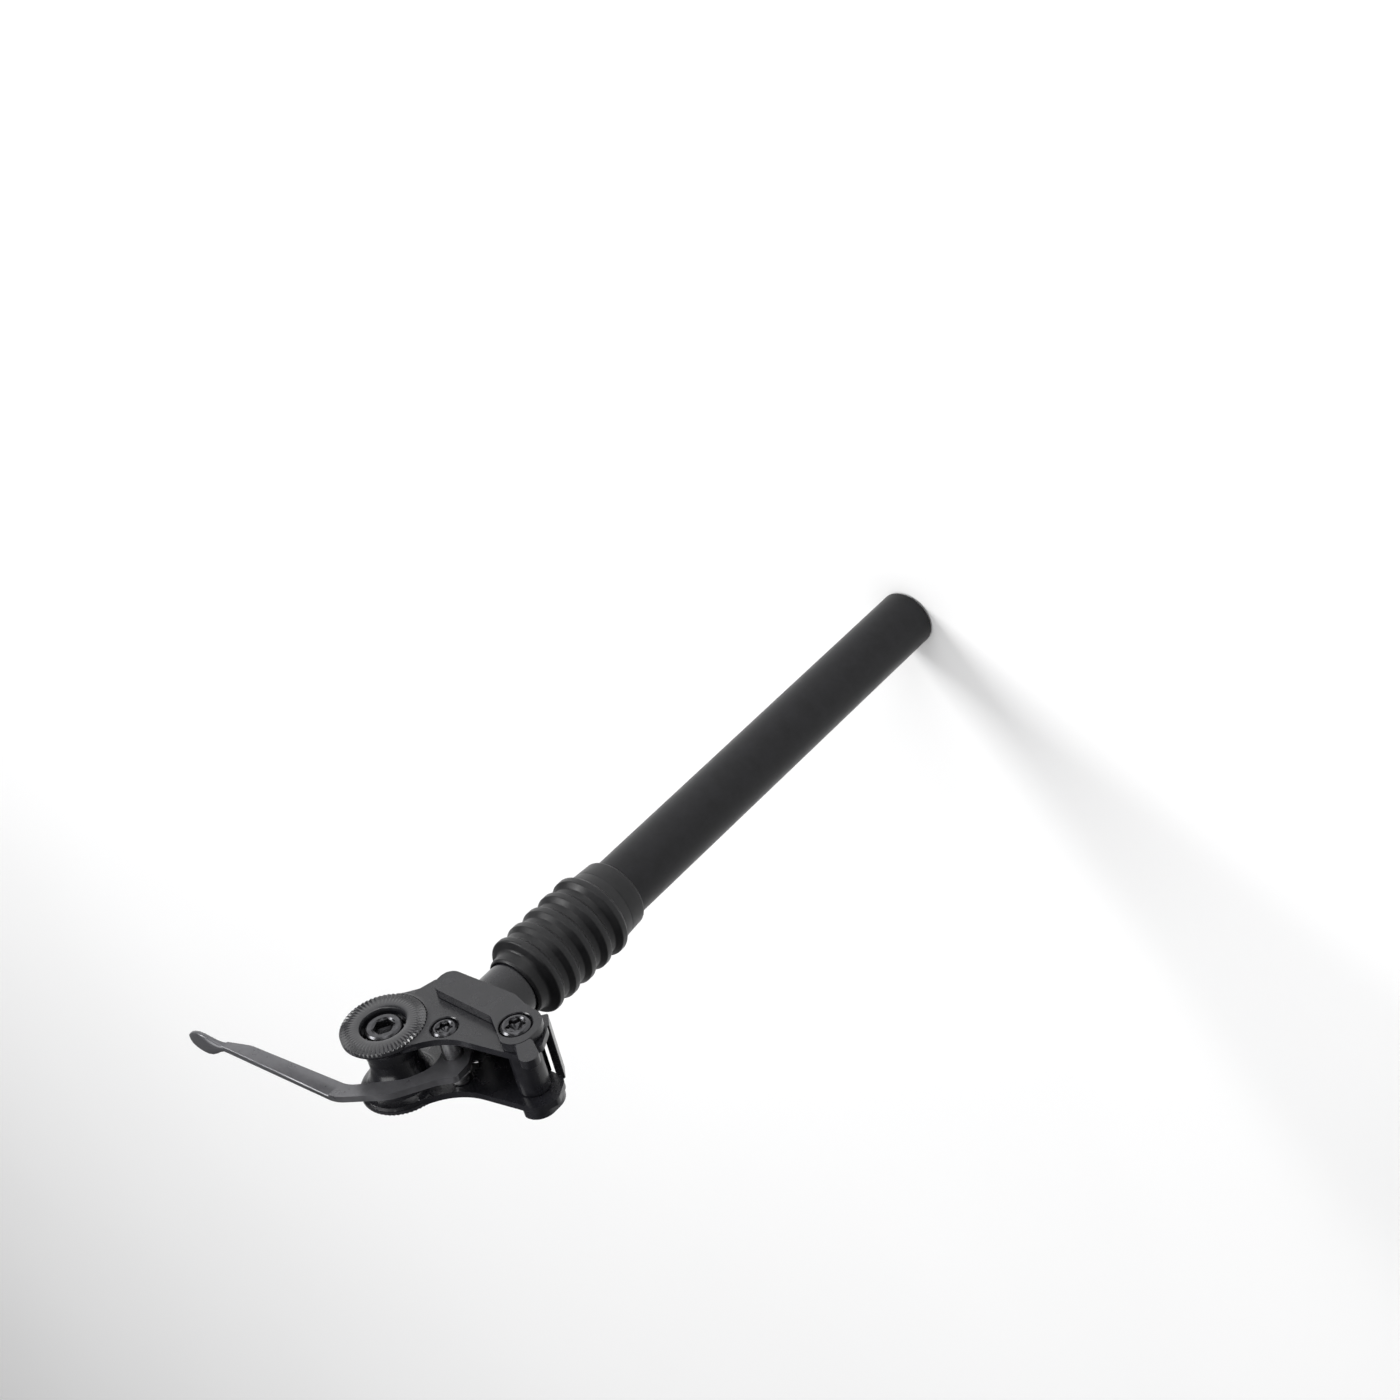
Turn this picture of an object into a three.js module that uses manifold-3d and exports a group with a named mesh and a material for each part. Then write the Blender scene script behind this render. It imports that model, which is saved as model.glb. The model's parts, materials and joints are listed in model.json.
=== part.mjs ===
// Suspension seatpost with a tilting saddle head, in millimetres, +Z up.
// The origin is the centre of the tube's lower end. Z runs along the post, X is the bicycle's
// fore-and-aft direction (+X to the rear, where the release handle points) and Y is sideways.
import * as THREE from "three";
import { mergeVertices } from "three/addons/utils/BufferGeometryUtils.js";
import Module from "manifold-3d";

const wasm = await Module();
wasm.setup();

// ---- Driving dimensions ----------------------------------------------------------------

const SEAT_GAP = 0.3; // between pieces that are fixed together
const RUN_GAP = 0.08; // between a shaft and the bush that it runs in

// Outer tube and the guide in its mouth
const TUBE_OD = 27.2;
const TUBE_WALL = 2.2;
const TUBE_LENGTH = 220;
const GUIDE_LENGTH = 31;
const KEY_WIDTH = 3;
const KEY_LENGTH = 16;
const KEY_DEPTH = 1.1; // how far a key reaches into the stanchion
const NUT_WALL = 1;
const NUT_OD = TUBE_OD + 2 * (SEAT_GAP + NUT_WALL);
const NUT_LENGTH = 8;
const NUT_LIP = 5.5;
const SEAL_HEIGHT = 2.6;

// Stanchion and what slides with it
const TRAVEL = 35;
const STANCHION_OD = 20;
const STANCHION_WALL = 2.4;
const BUMPER_HEIGHT = 6;
const SLIDER_BUSH_LENGTH = 14;
const RETAINER_HEIGHT = 1.6;
const RETAINER_DEPTH = 0.8;
const RETAINER_END = 2.5; // from the ring's groove to the stanchion's end

// Spring column
const SPRING_WIRE = 2.6;
const SPRING_OD = 19.4;
const SPRING_TURNS = 8;
const CORE_OD = 10;
const CORE_END_GAP = 16; // slack at each end of the elastomer core
const SEAT_THICKNESS = 4;
const PLUG_HEIGHT = 14;
const PLUG_INSET = 2.5;
const PLUG_HEX = 8;

// Boot
const BOOT_WALL = 1.5;
const BOOT_RIBS = 5;
const BOOT_PITCH = 9.9;
const BOOT_COLLAR_OD = NUT_OD + 2.8;
const BOOT_VALLEY_OD = NUT_OD + 2.8;
const BOOT_CREST_OD = NUT_OD + 8.2;
const BOOT_TOP_CREST_OD = NUT_OD + 6.4;
const BOOT_CUFF_HEIGHT = 5.5;

// Hinge bracket: its neck clears the gland by the travel, and the head's heights follow its base
const NECK_OD = 24;
const BOOT_CUFF_OD = NECK_OD + 3.2;
const NECK_BOTTOM = TUBE_LENGTH + TRAVEL + 11;
const NECK_LENGTH = 32.2;
const BASE_BOTTOM = NECK_BOTTOM + NECK_LENGTH;
const BASE_THICKNESS = 3.4;
const BASE_FRONT = -31;
const BASE_REAR = 4;
const CHEEK_OUTER = 20; // half the width over the two cheeks
const CHEEK_THICKNESS = 4.1;
const CHEEK_CHAMFER = 1.2;
const CHEEK_TIP_RADIUS = 5.2;
const PIVOT = { x: -35, z: BASE_BOTTOM + 13.5 };
const PIVOT_BOSS_RADIUS = 10.2;
const PIVOT_BOLT_OD = 8;
const PIVOT_HEAD_OD = 12.6;
const PIVOT_HEAD_HEIGHT = 2.8;
const PIVOT_HEX = 7.4;
const PIVOT_SLEEVE_OD = 13;
const CATCH = { x: 8, z: BASE_BOTTOM + 6.6 };
const CATCH_PIN_OD = 5;
const PIN_COVER = 1.8; // what the cheek keeps outside the pin's end
const NOTCH_GAP = 0.6;
const STOP_THICKNESS = 3.2;
const STOP_WIDTH = 7.5;
const STOP_NEAR = 8.5; // how far the stop plate reaches towards the finger's side
const FINGER_WIDTH = 8;
const FINGER_REACH = 23;

// Saddle yoke
const ARM_GAP = 0.4; // between an arm and its cheek
const ARM_OUTER = CHEEK_OUTER - CHEEK_THICKNESS - ARM_GAP; // half the width over the two arms
const ARM_THICKNESS = 3;
const ARM_ROUNDING = 0.8;
const CLAMP = { x: 19.2, z: BASE_BOTTOM + 34.5 };
const DISC_OD = 35.4;
const DISC_OUTER = ARM_OUTER + 1.1; // half the width over the serrated faces
const DISC_THICKNESS = 2.2;
const DISC_BORE = 19;
const TEETH = 60;
const TOOTH_DEPTH = 0.7;
const TOOTH_BAND = 5.6;
const CROSS_TUBE_OD = 24;
const CROSS_TUBE_WAIST = 21;
const CROSS_TUBE_FLARE = 5;
const CLAMP_BOLT_OD = 8;
const CLAMP_HEAD_OD = 15.5;
const CLAMP_HEAD_HEIGHT = 5.4;
const CLAMP_HEX = 8;
const CLAMP_NUT_HEIGHT = 6;
const CLAMP_NUT_FLATS = 13;
const CLAMP_WASHER = 1.4;
const COUNTERBORE_DEPTH = 8.6;
const BUSH_WALL = 1.2;

// Latch lever
const AXLE = { x: -4.8, z: BASE_BOTTOM + 24.1 };
const AXLE_OD = 5;
const AXLE_HEAD_OD = 10.6;
const AXLE_HEAD_HEIGHT = 1.6;
const AXLE_HEX = 4;
const SPACER_OD = 8;
const LEVER_THICKNESS = 3;
const LEVER_WIDTH = 7.8;
const LEVER_HUB_RADIUS = 7;
const HANDLE_TOP = BASE_BOTTOM + 64.8;
const HANDLE_END_X = 89;
const PAD_CENTRE_X = 97.5;
const PAD_Z = HANDLE_TOP + 0.6;
const PAD_LENGTH = 21;
const PAD_WIDTH = 10.5;
const PAD_THICKNESS = 3.2;
const HOOK_WIDTH = 6;
const HOOK_GAP = 0.5;
const HOOK_DROP = 2.4;
const LATCH_SPRING_WIRE = 1.2;
const LATCH_SPRING_TURNS = 4;

// ---- Sizes that follow ------------------------------------------------------------------

const tubeR = TUBE_OD / 2;
const boreR = tubeR - TUBE_WALL;
const stanchionR = STANCHION_OD / 2;
const stanchionBoreR = stanchionR - STANCHION_WALL;
const guideTop = TUBE_LENGTH - SEAT_GAP;
const guideBottom = guideTop - GUIDE_LENGTH;
const guideOuterR = boreR - SEAT_GAP;
const guideInnerR = stanchionR + RUN_GAP;
const nutTop = TUBE_LENGTH + SEAT_GAP + NUT_LIP;
const nutBottom = nutTop - NUT_LENGTH;
const sealBottom = nutTop + SEAT_GAP;
const bumperTop = guideBottom - SEAT_GAP;
const bumperBottom = bumperTop - BUMPER_HEIGHT;
const sliderBushTop = bumperBottom - SEAT_GAP;
const sliderBushBottom = sliderBushTop - SLIDER_BUSH_LENGTH;
const retainerTop = sliderBushBottom - SEAT_GAP;
const stanchionBottom = retainerTop - RETAINER_HEIGHT - RETAINER_END;
const stanchionTop = BASE_BOTTOM - 5;
const baseTop = BASE_BOTTOM + BASE_THICKNESS;
const capFlange = 3.5;
const springTop = stanchionBottom - SEAT_GAP - capFlange - SEAT_GAP;
const plugTop = PLUG_INSET + PLUG_HEIGHT;
const seatBottom = plugTop + SEAT_GAP;
const springBottom = seatBottom + SEAT_THICKNESS + SEAT_GAP;
const neckR = NECK_OD / 2;
const cheekInner = CHEEK_OUTER - CHEEK_THICKNESS;
const armInner = ARM_OUTER - ARM_THICKNESS;
const pivotR = PIVOT_BOLT_OD / 2;
const bushOuterR = pivotR + RUN_GAP + BUSH_WALL;
const discR = DISC_OD / 2;
const discInner = DISC_OUTER - DISC_THICKNESS;
const axleR = AXLE_OD / 2;
const spacerR = SPACER_OD / 2;
const bootBottom = TUBE_LENGTH - 5.5;
const bootTop = NECK_BOTTOM + 14.5;

// ---- Shaping helpers --------------------------------------------------------------------

const FINE = 36; // sides of the large round pieces
const COARSE = 20; // sides of the small round pieces

// A closed three.js geometry as a manifold-3d solid.
function solid(geometry) {
  const bare = geometry.clone();
  bare.deleteAttribute("normal");
  bare.deleteAttribute("uv");
  const merged = mergeVertices(bare, 1e-4);
  return new wasm.Manifold(
    new wasm.Mesh({
      numProp: 3,
      vertProperties: merged.attributes.position.array,
      triVerts: new Uint32Array(merged.index.array),
    }),
  );
}

// A manifold-3d solid as a flat-shaded three.js geometry.
function faceted(body) {
  const mesh = body.getMesh();
  const geometry = new THREE.BufferGeometry();
  geometry.setAttribute("position", new THREE.BufferAttribute(mesh.vertProperties, 3));
  geometry.setIndex(new THREE.BufferAttribute(mesh.triVerts, 1));
  const flat = geometry.toNonIndexed();
  flat.computeVertexNormals();
  return flat;
}

const join = (first, ...rest) => faceted(rest.reduce((a, b) => a.add(solid(b)), solid(first)));
const cut = (first, ...rest) => faceted(rest.reduce((a, b) => a.subtract(solid(b)), solid(first)));

// A profile of [radius, z] points turned about Z: up the outside and down the inside or the axis.
function turned(profile, sides = FINE) {
  const points = profile.map(([r, z]) => new THREE.Vector2(r, z));
  return new THREE.LatheGeometry(points, sides).rotateX(Math.PI / 2);
}

function ring(innerR, outerR, bottom, top, sides = FINE) {
  const corners = [[innerR, bottom], [outerR, bottom], [outerR, top], [innerR, top]];
  return turned([...corners, corners[0]], sides);
}

function rod(radius, bottom, top, sides = COARSE) {
  return turned([[0, bottom], [radius, bottom], [radius, top], [0, top]], sides);
}

// A piece made about Z, laid across the post at a place in the XZ plane: its z becomes y.
function across(geometry, place) {
  return geometry.rotateX(-Math.PI / 2).translate(place.x, 0, place.z);
}

const mirrored = (low, high) => [[low, high], [-high, -low]];

// An outline in the XZ plane from [x, z, corner radius] points, anticlockwise.
function outline(corners) {
  const shape = new THREE.Shape();
  corners.forEach(([x, z, radius = 0], i) => {
    const corner = new THREE.Vector2(x, z);
    const before = new THREE.Vector2(...corners.at(i - 1)).sub(corner).normalize();
    const after = new THREE.Vector2(...corners[(i + 1) % corners.length]).sub(corner).normalize();
    const half = Math.acos(THREE.MathUtils.clamp(before.dot(after), -1, 1)) / 2;
    const add = i ? "lineTo" : "moveTo";
    if (radius === 0) {
      shape[add](x, z);
      return;
    }
    const reach = radius / Math.tan(half);
    const start = before.clone().multiplyScalar(reach).add(corner);
    const end = after.clone().multiplyScalar(reach).add(corner);
    const middle = before.add(after).normalize().multiplyScalar(radius / Math.sin(half)).add(corner);
    const left = (start.x - middle.x) * (end.y - middle.y) - (start.y - middle.y) * (end.x - middle.x) > 0;
    const angle = (point) => Math.atan2(point.y - middle.y, point.x - middle.x);
    shape[add](start.x, start.y);
    shape.absarc(middle.x, middle.y, radius, angle(start), angle(end), !left);
  });
  shape.closePath();
  return shape;
}

// An XZ outline given its thickness in Y, with chamfered rims if asked.
function plate(shape, low, high, chamfer = 0, steps = 3) {
  const geometry = new THREE.ExtrudeGeometry(shape, {
    depth: high - low - 2 * chamfer,
    curveSegments: steps,
    bevelEnabled: chamfer > 0,
    bevelSize: chamfer,
    bevelThickness: chamfer,
    bevelOffset: -chamfer,
    bevelSegments: 1,
  });
  return geometry.rotateX(Math.PI / 2).translate(0, high - chamfer, 0);
}

function box(width, depth, height, x, y, z) {
  return new THREE.BoxGeometry(width, depth, height).translate(x, y, z);
}

// A hexagonal socket or nut about Z, measured across its flats.
function hexagon(flats, bottom, top) {
  return rod(flats / Math.sqrt(3), bottom, top, 6);
}

// A round wire wound about Z, with its end turns closed up flat.
class Helix extends THREE.Curve {
  constructor(radius, bottom, top, turns) {
    super();
    Object.assign(this, { radius, bottom, top, turns });
  }
  getPoint(t, target = new THREE.Vector3()) {
    const angle = 2 * Math.PI * this.turns * t;
    const rise = THREE.MathUtils.smootherstep(t, -0.04, 1.04);
    const lift = 0.35 * rise + 0.65 * t;
    return target.set(
      this.radius * Math.cos(angle),
      this.radius * Math.sin(angle),
      this.bottom + (this.top - this.bottom) * lift,
    );
  }
}

function wound(wire, outerR, bottom, top, turns) {
  const section = new THREE.Shape().absarc(0, 0, wire / 2, 0, 2 * Math.PI);
  return new THREE.ExtrudeGeometry(section, {
    extrudePath: new Helix(outerR - wire / 2, bottom + wire / 2, top - wire / 2, turns),
    steps: 12 * turns,
    curveSegments: 3,
    bevelEnabled: false,
  });
}

// ---- Finishes ---------------------------------------------------------------------------

const finish = (color, roughness, metalness) => () =>
  new THREE.MeshStandardMaterial({ color, roughness, metalness });
const satinBlack = finish(0x1c1c1e, 0.5, 0.3);
const paintedHead = finish(0x2a2a2d, 0.45, 0.4);
const blackRubber = finish(0x151516, 0.75, 0);
const blackSteel = finish(0x202022, 0.35, 0.8);
const brightSteel = finish(0x9a9a9c, 0.3, 1);
const hardAnodised = finish(0x3a3a3d, 0.35, 0.8);
const slipperyPlastic = finish(0x2b2b2a, 0.5, 0);
const amberElastomer = finish(0x6a5a2c, 0.6, 0);

const seatpost = new THREE.Group();

function part(name, geometry, material) {
  const mesh = new THREE.Mesh(geometry, material());
  mesh.name = name;
  seatpost.add(mesh);
  return mesh;
}

// ---- Outer tube, guide and preload ------------------------------------------------------

const endBreak = 0.8; // the chamfer that eases the tube into the frame

part("post_tube", turned([
  [boreR, 0], [tubeR - endBreak, 0], [tubeR, endBreak],
  [tubeR, TUBE_LENGTH], [boreR, TUBE_LENGTH], [boreR, 0],
]), satinBlack);

const keyTop = guideTop - 4;
const keyBottom = keyTop - KEY_LENGTH;
const keyInnerR = stanchionR - KEY_DEPTH;
const keySlotHeight = KEY_LENGTH + 2 * SEAT_GAP;

part("guide_bush", cut(
  ring(guideInnerR, guideOuterR, guideBottom, guideTop),
  box(2 * tubeR, KEY_WIDTH + 2 * SEAT_GAP, keySlotHeight, 0, 0, (keyTop + keyBottom) / 2),
), slipperyPlastic);

for (const [side, sign] of [["front", -1], ["rear", 1]]) {
  const outerR = guideOuterR - SEAT_GAP;
  part(`anti_rotation_key_${side}`, box(outerR - keyInnerR, KEY_WIDTH, KEY_LENGTH,
    sign * (outerR + keyInnerR) / 2, 0, (keyTop + keyBottom) / 2), brightSteel);
}

const lipR = stanchionR + 1;
part("gland_nut", turned([
  [tubeR + SEAT_GAP, nutBottom], [NUT_OD / 2, nutBottom], [NUT_OD / 2, nutTop], [lipR, nutTop],
  [lipR, TUBE_LENGTH + SEAT_GAP], [tubeR + SEAT_GAP, TUBE_LENGTH + SEAT_GAP],
  [tubeR + SEAT_GAP, nutBottom],
]), hardAnodised);

part("wiper_seal", turned([
  [guideInnerR, sealBottom], [neckR + 0.6, sealBottom], [neckR, sealBottom + 1.2],
  [guideInnerR + 0.6, sealBottom + SEAL_HEIGHT], [guideInnerR, sealBottom],
]), blackRubber);

part("preload_plug", cut(
  rod(boreR - SEAT_GAP, PLUG_INSET, plugTop, FINE),
  hexagon(PLUG_HEX, PLUG_INSET - 1, PLUG_INSET + PLUG_HEIGHT * 0.6),
), brightSteel);

const spigotR = SPRING_OD / 2 - SPRING_WIRE - SEAT_GAP;
const spigotHeight = 8;

part("spring_seat", turned([
  [0, seatBottom], [boreR - SEAT_GAP, seatBottom], [boreR - SEAT_GAP, seatBottom + SEAT_THICKNESS],
  [spigotR, seatBottom + SEAT_THICKNESS], [spigotR, seatBottom + SEAT_THICKNESS + spigotHeight],
  [0, seatBottom + SEAT_THICKNESS + spigotHeight],
], COARSE), slipperyPlastic);

part("main_spring", wound(SPRING_WIRE, SPRING_OD / 2, springBottom, springTop, SPRING_TURNS), brightSteel);

part("elastomer_core", rod(CORE_OD / 2, springBottom + CORE_END_GAP, springTop - CORE_END_GAP),
  amberElastomer);

// ---- Stanchion --------------------------------------------------------------------------

const grooveWidth = KEY_WIDTH + 2 * RUN_GAP;
const grooveDepth = KEY_DEPTH + RUN_GAP;
const grooveBottom = keyBottom - 2;
const grooveTop = keyTop + TRAVEL + 2;
const grooveR = stanchionR - RETAINER_DEPTH - RUN_GAP;

const keyGroove = (sign) => box(
  2 * grooveDepth, grooveWidth, grooveTop - grooveBottom,
  sign * stanchionR, 0, (grooveTop + grooveBottom) / 2,
);

part("stanchion_tube", cut(turned([
  [stanchionBoreR, stanchionBottom], [stanchionR, stanchionBottom],
  [stanchionR, retainerTop - RETAINER_HEIGHT - RUN_GAP], [grooveR, retainerTop - RETAINER_HEIGHT - RUN_GAP],
  [grooveR, retainerTop + RUN_GAP], [stanchionR, retainerTop + RUN_GAP],
  [stanchionR, stanchionTop], [stanchionBoreR, stanchionTop], [stanchionBoreR, stanchionBottom],
]), keyGroove(-1), keyGroove(1)), hardAnodised);

part("slider_bush", ring(stanchionR + SEAT_GAP, boreR - RUN_GAP, sliderBushBottom, sliderBushTop),
  slipperyPlastic);

part("top_out_bumper", ring(stanchionR + SEAT_GAP, boreR - SEAT_GAP, bumperBottom, bumperTop),
  blackRubber);

part("retaining_ring", ring(stanchionR - RETAINER_DEPTH, boreR - 0.5,
  retainerTop - RETAINER_HEIGHT, retainerTop, FINE), brightSteel);

part("spring_cap", turned([
  [0, stanchionBottom - SEAT_GAP - capFlange - spigotHeight],
  [spigotR, stanchionBottom - SEAT_GAP - capFlange - spigotHeight],
  [spigotR, stanchionBottom - SEAT_GAP - capFlange],
  [stanchionR, stanchionBottom - SEAT_GAP - capFlange],
  [stanchionR, stanchionBottom - SEAT_GAP], [stanchionBoreR - SEAT_GAP, stanchionBottom - SEAT_GAP],
  [stanchionBoreR - SEAT_GAP, stanchionBottom + 10], [0, stanchionBottom + 10],
], COARSE), brightSteel);

// ---- Boot -------------------------------------------------------------------------------

// The boot's outside: a collar over the gland nut, ribs that rise and fall, and a cuff round the neck.
function bootProfile() {
  const firstCrest = nutTop + 6.7;
  const points = [
    [tubeR + SEAT_GAP, bootBottom], [BOOT_COLLAR_OD / 2, bootBottom + 2.6],
    [BOOT_COLLAR_OD / 2, nutTop + 1.2],
  ];
  for (let rib = 0; rib < BOOT_RIBS; rib++) {
    const crest = firstCrest + rib * BOOT_PITCH;
    const share = rib / (BOOT_RIBS - 1);
    const crestR = THREE.MathUtils.lerp(BOOT_CREST_OD, BOOT_TOP_CREST_OD, share) / 2;
    points.push([crestR - 0.9, crest - 1.7], [crestR, crest], [crestR - 0.9, crest + 1.7]);
    if (rib < BOOT_RIBS - 1) points.push([BOOT_VALLEY_OD / 2, crest + BOOT_PITCH / 2]);
  }
  points.push([BOOT_CUFF_OD / 2, bootTop - BOOT_CUFF_HEIGHT], [BOOT_CUFF_OD / 2, bootTop]);
  return points;
}

// The same wall's inside, which clears the nut below and grips the neck above.
function bootInside(outside) {
  const nutR = NUT_OD / 2 + SEAT_GAP;
  const collar = [
    [nutR, nutTop + 1], [nutR, nutBottom - SEAT_GAP], [tubeR + SEAT_GAP, nutBottom - SEAT_GAP],
    [tubeR + SEAT_GAP, bootBottom],
  ];
  const bends = outside.slice(3, -2).filter((point, i) => i % 4 === 1 || i % 4 === 3);
  const ribs = bends.map(([r, z]) => [r - BOOT_WALL, z]).reverse();
  const cuffR = neckR + SEAT_GAP;
  return [[cuffR, bootTop], [cuffR, bootTop - BOOT_CUFF_HEIGHT - 1], ...ribs, ...collar];
}

const bootOutside = bootProfile();
part("boot", turned([...bootOutside, ...bootInside(bootOutside)], 28), blackRubber);

// ---- Hinge bracket ----------------------------------------------------------------------

// One cheek: a straight bar that ends in a round tip at the catch and a boss at the pivot.
function cheekShape() {
  const front = PIVOT.x - PIVOT_BOSS_RADIUS;
  const rear = CATCH.x + CHEEK_TIP_RADIUS;
  const top = CATCH.z + CHEEK_TIP_RADIUS;
  return outline([
    [rear, BASE_BOTTOM, CHEEK_TIP_RADIUS],
    [rear, top, CHEEK_TIP_RADIUS],
    [PIVOT.x + 12.5, top + 2.4, 6],
    [PIVOT.x - 1.5, PIVOT.z + PIVOT_BOSS_RADIUS, 4],
    [front, PIVOT.z + PIVOT_BOSS_RADIUS - 0.8, 7.5],
    [front, PIVOT.z - PIVOT_BOSS_RADIUS, PIVOT_BOSS_RADIUS * 0.9],
    [PIVOT.x + 2, PIVOT.z - PIVOT_BOSS_RADIUS, 4],
    [PIVOT.x + 12, BASE_BOTTOM, 4],
  ]);
}

// The stop finger that runs up and forward from the near cheek's boss.
function fingerShape() {
  const lean = THREE.MathUtils.degToRad(147);
  const along = (distance, side) => [
    PIVOT.x + distance * Math.cos(lean) - side * Math.sin(lean),
    PIVOT.z + distance * Math.sin(lean) + side * Math.cos(lean),
  ];
  const half = FINGER_WIDTH / 2;
  const round = half * 0.9;
  return outline([
    along(4, half), along(4, -half), [...along(FINGER_REACH, -half), round],
    [...along(FINGER_REACH, half), round],
  ]);
}

const base = outline([
  [BASE_FRONT, BASE_BOTTOM, 0.5], [BASE_REAR, BASE_BOTTOM, 0.5], [BASE_REAR, baseTop, 1],
  [BASE_FRONT, baseTop, 1],
]);
const headRecessR = PIVOT_HEAD_OD / 2 + 0.6;
const recessFloor = CHEEK_OUTER - PIVOT_HEAD_HEIGHT - SEAT_GAP;
const pinHalf = CHEEK_OUTER - PIN_COVER;

part("hinge_bracket", cut(
  join(
    rod(neckR, NECK_BOTTOM, BASE_BOTTOM + 1, FINE),
    plate(base, -cheekInner - 1, cheekInner + 1),
    ...mirrored(cheekInner, CHEEK_OUTER).map((span) => plate(cheekShape(), ...span, CHEEK_CHAMFER)),
    plate(fingerShape(), -CHEEK_OUTER, -cheekInner, CHEEK_CHAMFER * 0.6),
  ),
  rod(stanchionR + SEAT_GAP, NECK_BOTTOM - 1, stanchionTop + SEAT_GAP, FINE),
  across(rod(pivotR + SEAT_GAP, -CHEEK_OUTER - 1, CHEEK_OUTER + 1), PIVOT),
  ...mirrored(recessFloor, CHEEK_OUTER + 1).map((span) => across(rod(headRecessR, ...span), PIVOT)),
  across(rod(CATCH_PIN_OD / 2 + SEAT_GAP, -pinHalf - SEAT_GAP, pinHalf + SEAT_GAP), CATCH),
), paintedHead);

part("catch_pin", across(rod(CATCH_PIN_OD / 2, -pinHalf, pinHalf), CATCH), blackSteel);

// A round head about Z whose outer face is at low, with its rim eased.
const head = (radius, low, high, sides) => turned([
  [0, low], [radius - 0.7, low], [radius, low + 0.7], [radius, high], [0, high],
], sides);

const headFace = -CHEEK_OUTER - 0.3;
const headBack = -recessFloor - SEAT_GAP;
part("pivot_bolt", cut(
  join(
    across(rod(pivotR, headBack - 0.5, CHEEK_OUTER - 0.5), PIVOT),
    across(head(PIVOT_HEAD_OD / 2, headFace, headBack, COARSE), PIVOT),
  ),
  across(hexagon(PIVOT_HEX, headFace - 1, headBack + 0.8), PIVOT),
), blackSteel);

part("pivot_nut", across(
  ring(pivotR + SEAT_GAP, PIVOT_HEAD_OD / 2, -headBack, -headFace, COARSE), PIVOT), blackSteel);

// The plate that closes the bracket's front at a slope and stops the tilt.
function stopShape() {
  const slope = Math.SQRT1_2;
  const corner = (along, through) => [
    BASE_FRONT - SEAT_GAP + (through - along) * slope,
    BASE_BOTTOM - STOP_THICKNESS / 2 + (through + along) * slope,
    0.5,
  ];
  const low = -STOP_WIDTH * 0.35;
  const high = STOP_WIDTH * 0.65;
  return outline([
    corner(low, -STOP_THICKNESS), corner(low, 0), corner(high, 0), corner(high, -STOP_THICKNESS),
  ]);
}
part("stop_plate", plate(stopShape(), -STOP_NEAR, CHEEK_OUTER - 0.5), paintedHead);

// ---- Saddle yoke ------------------------------------------------------------------------

// One arm: a deep plate from the pivot's nose, with its stop heel, to the round clamp end.
function armShape() {
  const bottom = baseTop + 0.6;
  return outline([
    [CLAMP.x - 1, bottom, 1.5],
    [CLAMP.x + 1.5, bottom + 7.5, 3],
    [CLAMP.x + discR * 0.64, CLAMP.z - discR * 0.77],
    [CLAMP.x, CLAMP.z],
    [CLAMP.x - discR * 0.92, CLAMP.z + discR * 0.39],
    [AXLE.x - 2.2, AXLE.z + 4.2, 28],
    [PIVOT.x - 9.5, PIVOT.z + 9.7, 6],
    [PIVOT.x - 13.3, PIVOT.z + 0.9, 3],
    [PIVOT.x - 8, bottom, 6],
  ]);
}

// A point at a height on the arc that the catch pin sweeps about the pivot, moved out by an offset.
function swing(height, offset) {
  const reach = Math.hypot(CATCH.x - PIVOT.x, CATCH.z - PIVOT.z) + offset;
  const drop = height - PIVOT.z;
  return [PIVOT.x + Math.sqrt(reach ** 2 - drop ** 2), height];
}

// The notch in the arms' lower edge that drops over the catch pin.
function notchShape() {
  const half = CATCH_PIN_OD / 2 + NOTCH_GAP;
  return outline([
    swing(baseTop, -half), swing(baseTop, half), swing(CATCH.z, half), swing(CATCH.z, -half),
  ]);
}

const discSeat = discInner - SEAT_GAP;
const counterboreFloor = DISC_OUTER - COUNTERBORE_DEPTH;
const clampR = CLAMP_BOLT_OD / 2;
const axleRecess = ARM_OUTER - AXLE_HEAD_HEIGHT - SEAT_GAP;
const flareEnd = discSeat - CROSS_TUBE_FLARE;

// Half of the cross tube's outline: a waist that flares like a trumpet to the disc's own edge.
const flare = [
  [CROSS_TUBE_WAIST / 2, flareEnd / 4], [CROSS_TUBE_OD / 2, flareEnd],
  [CROSS_TUBE_OD / 2 + 2.4, flareEnd + CROSS_TUBE_FLARE * 0.5],
  [discR - 0.8, flareEnd + CROSS_TUBE_FLARE * 0.8], [discR, discSeat], [0, discSeat],
];
const crossTubeProfile = [...flare.map(([r, y]) => [r, -y]).reverse(), ...flare];

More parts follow.
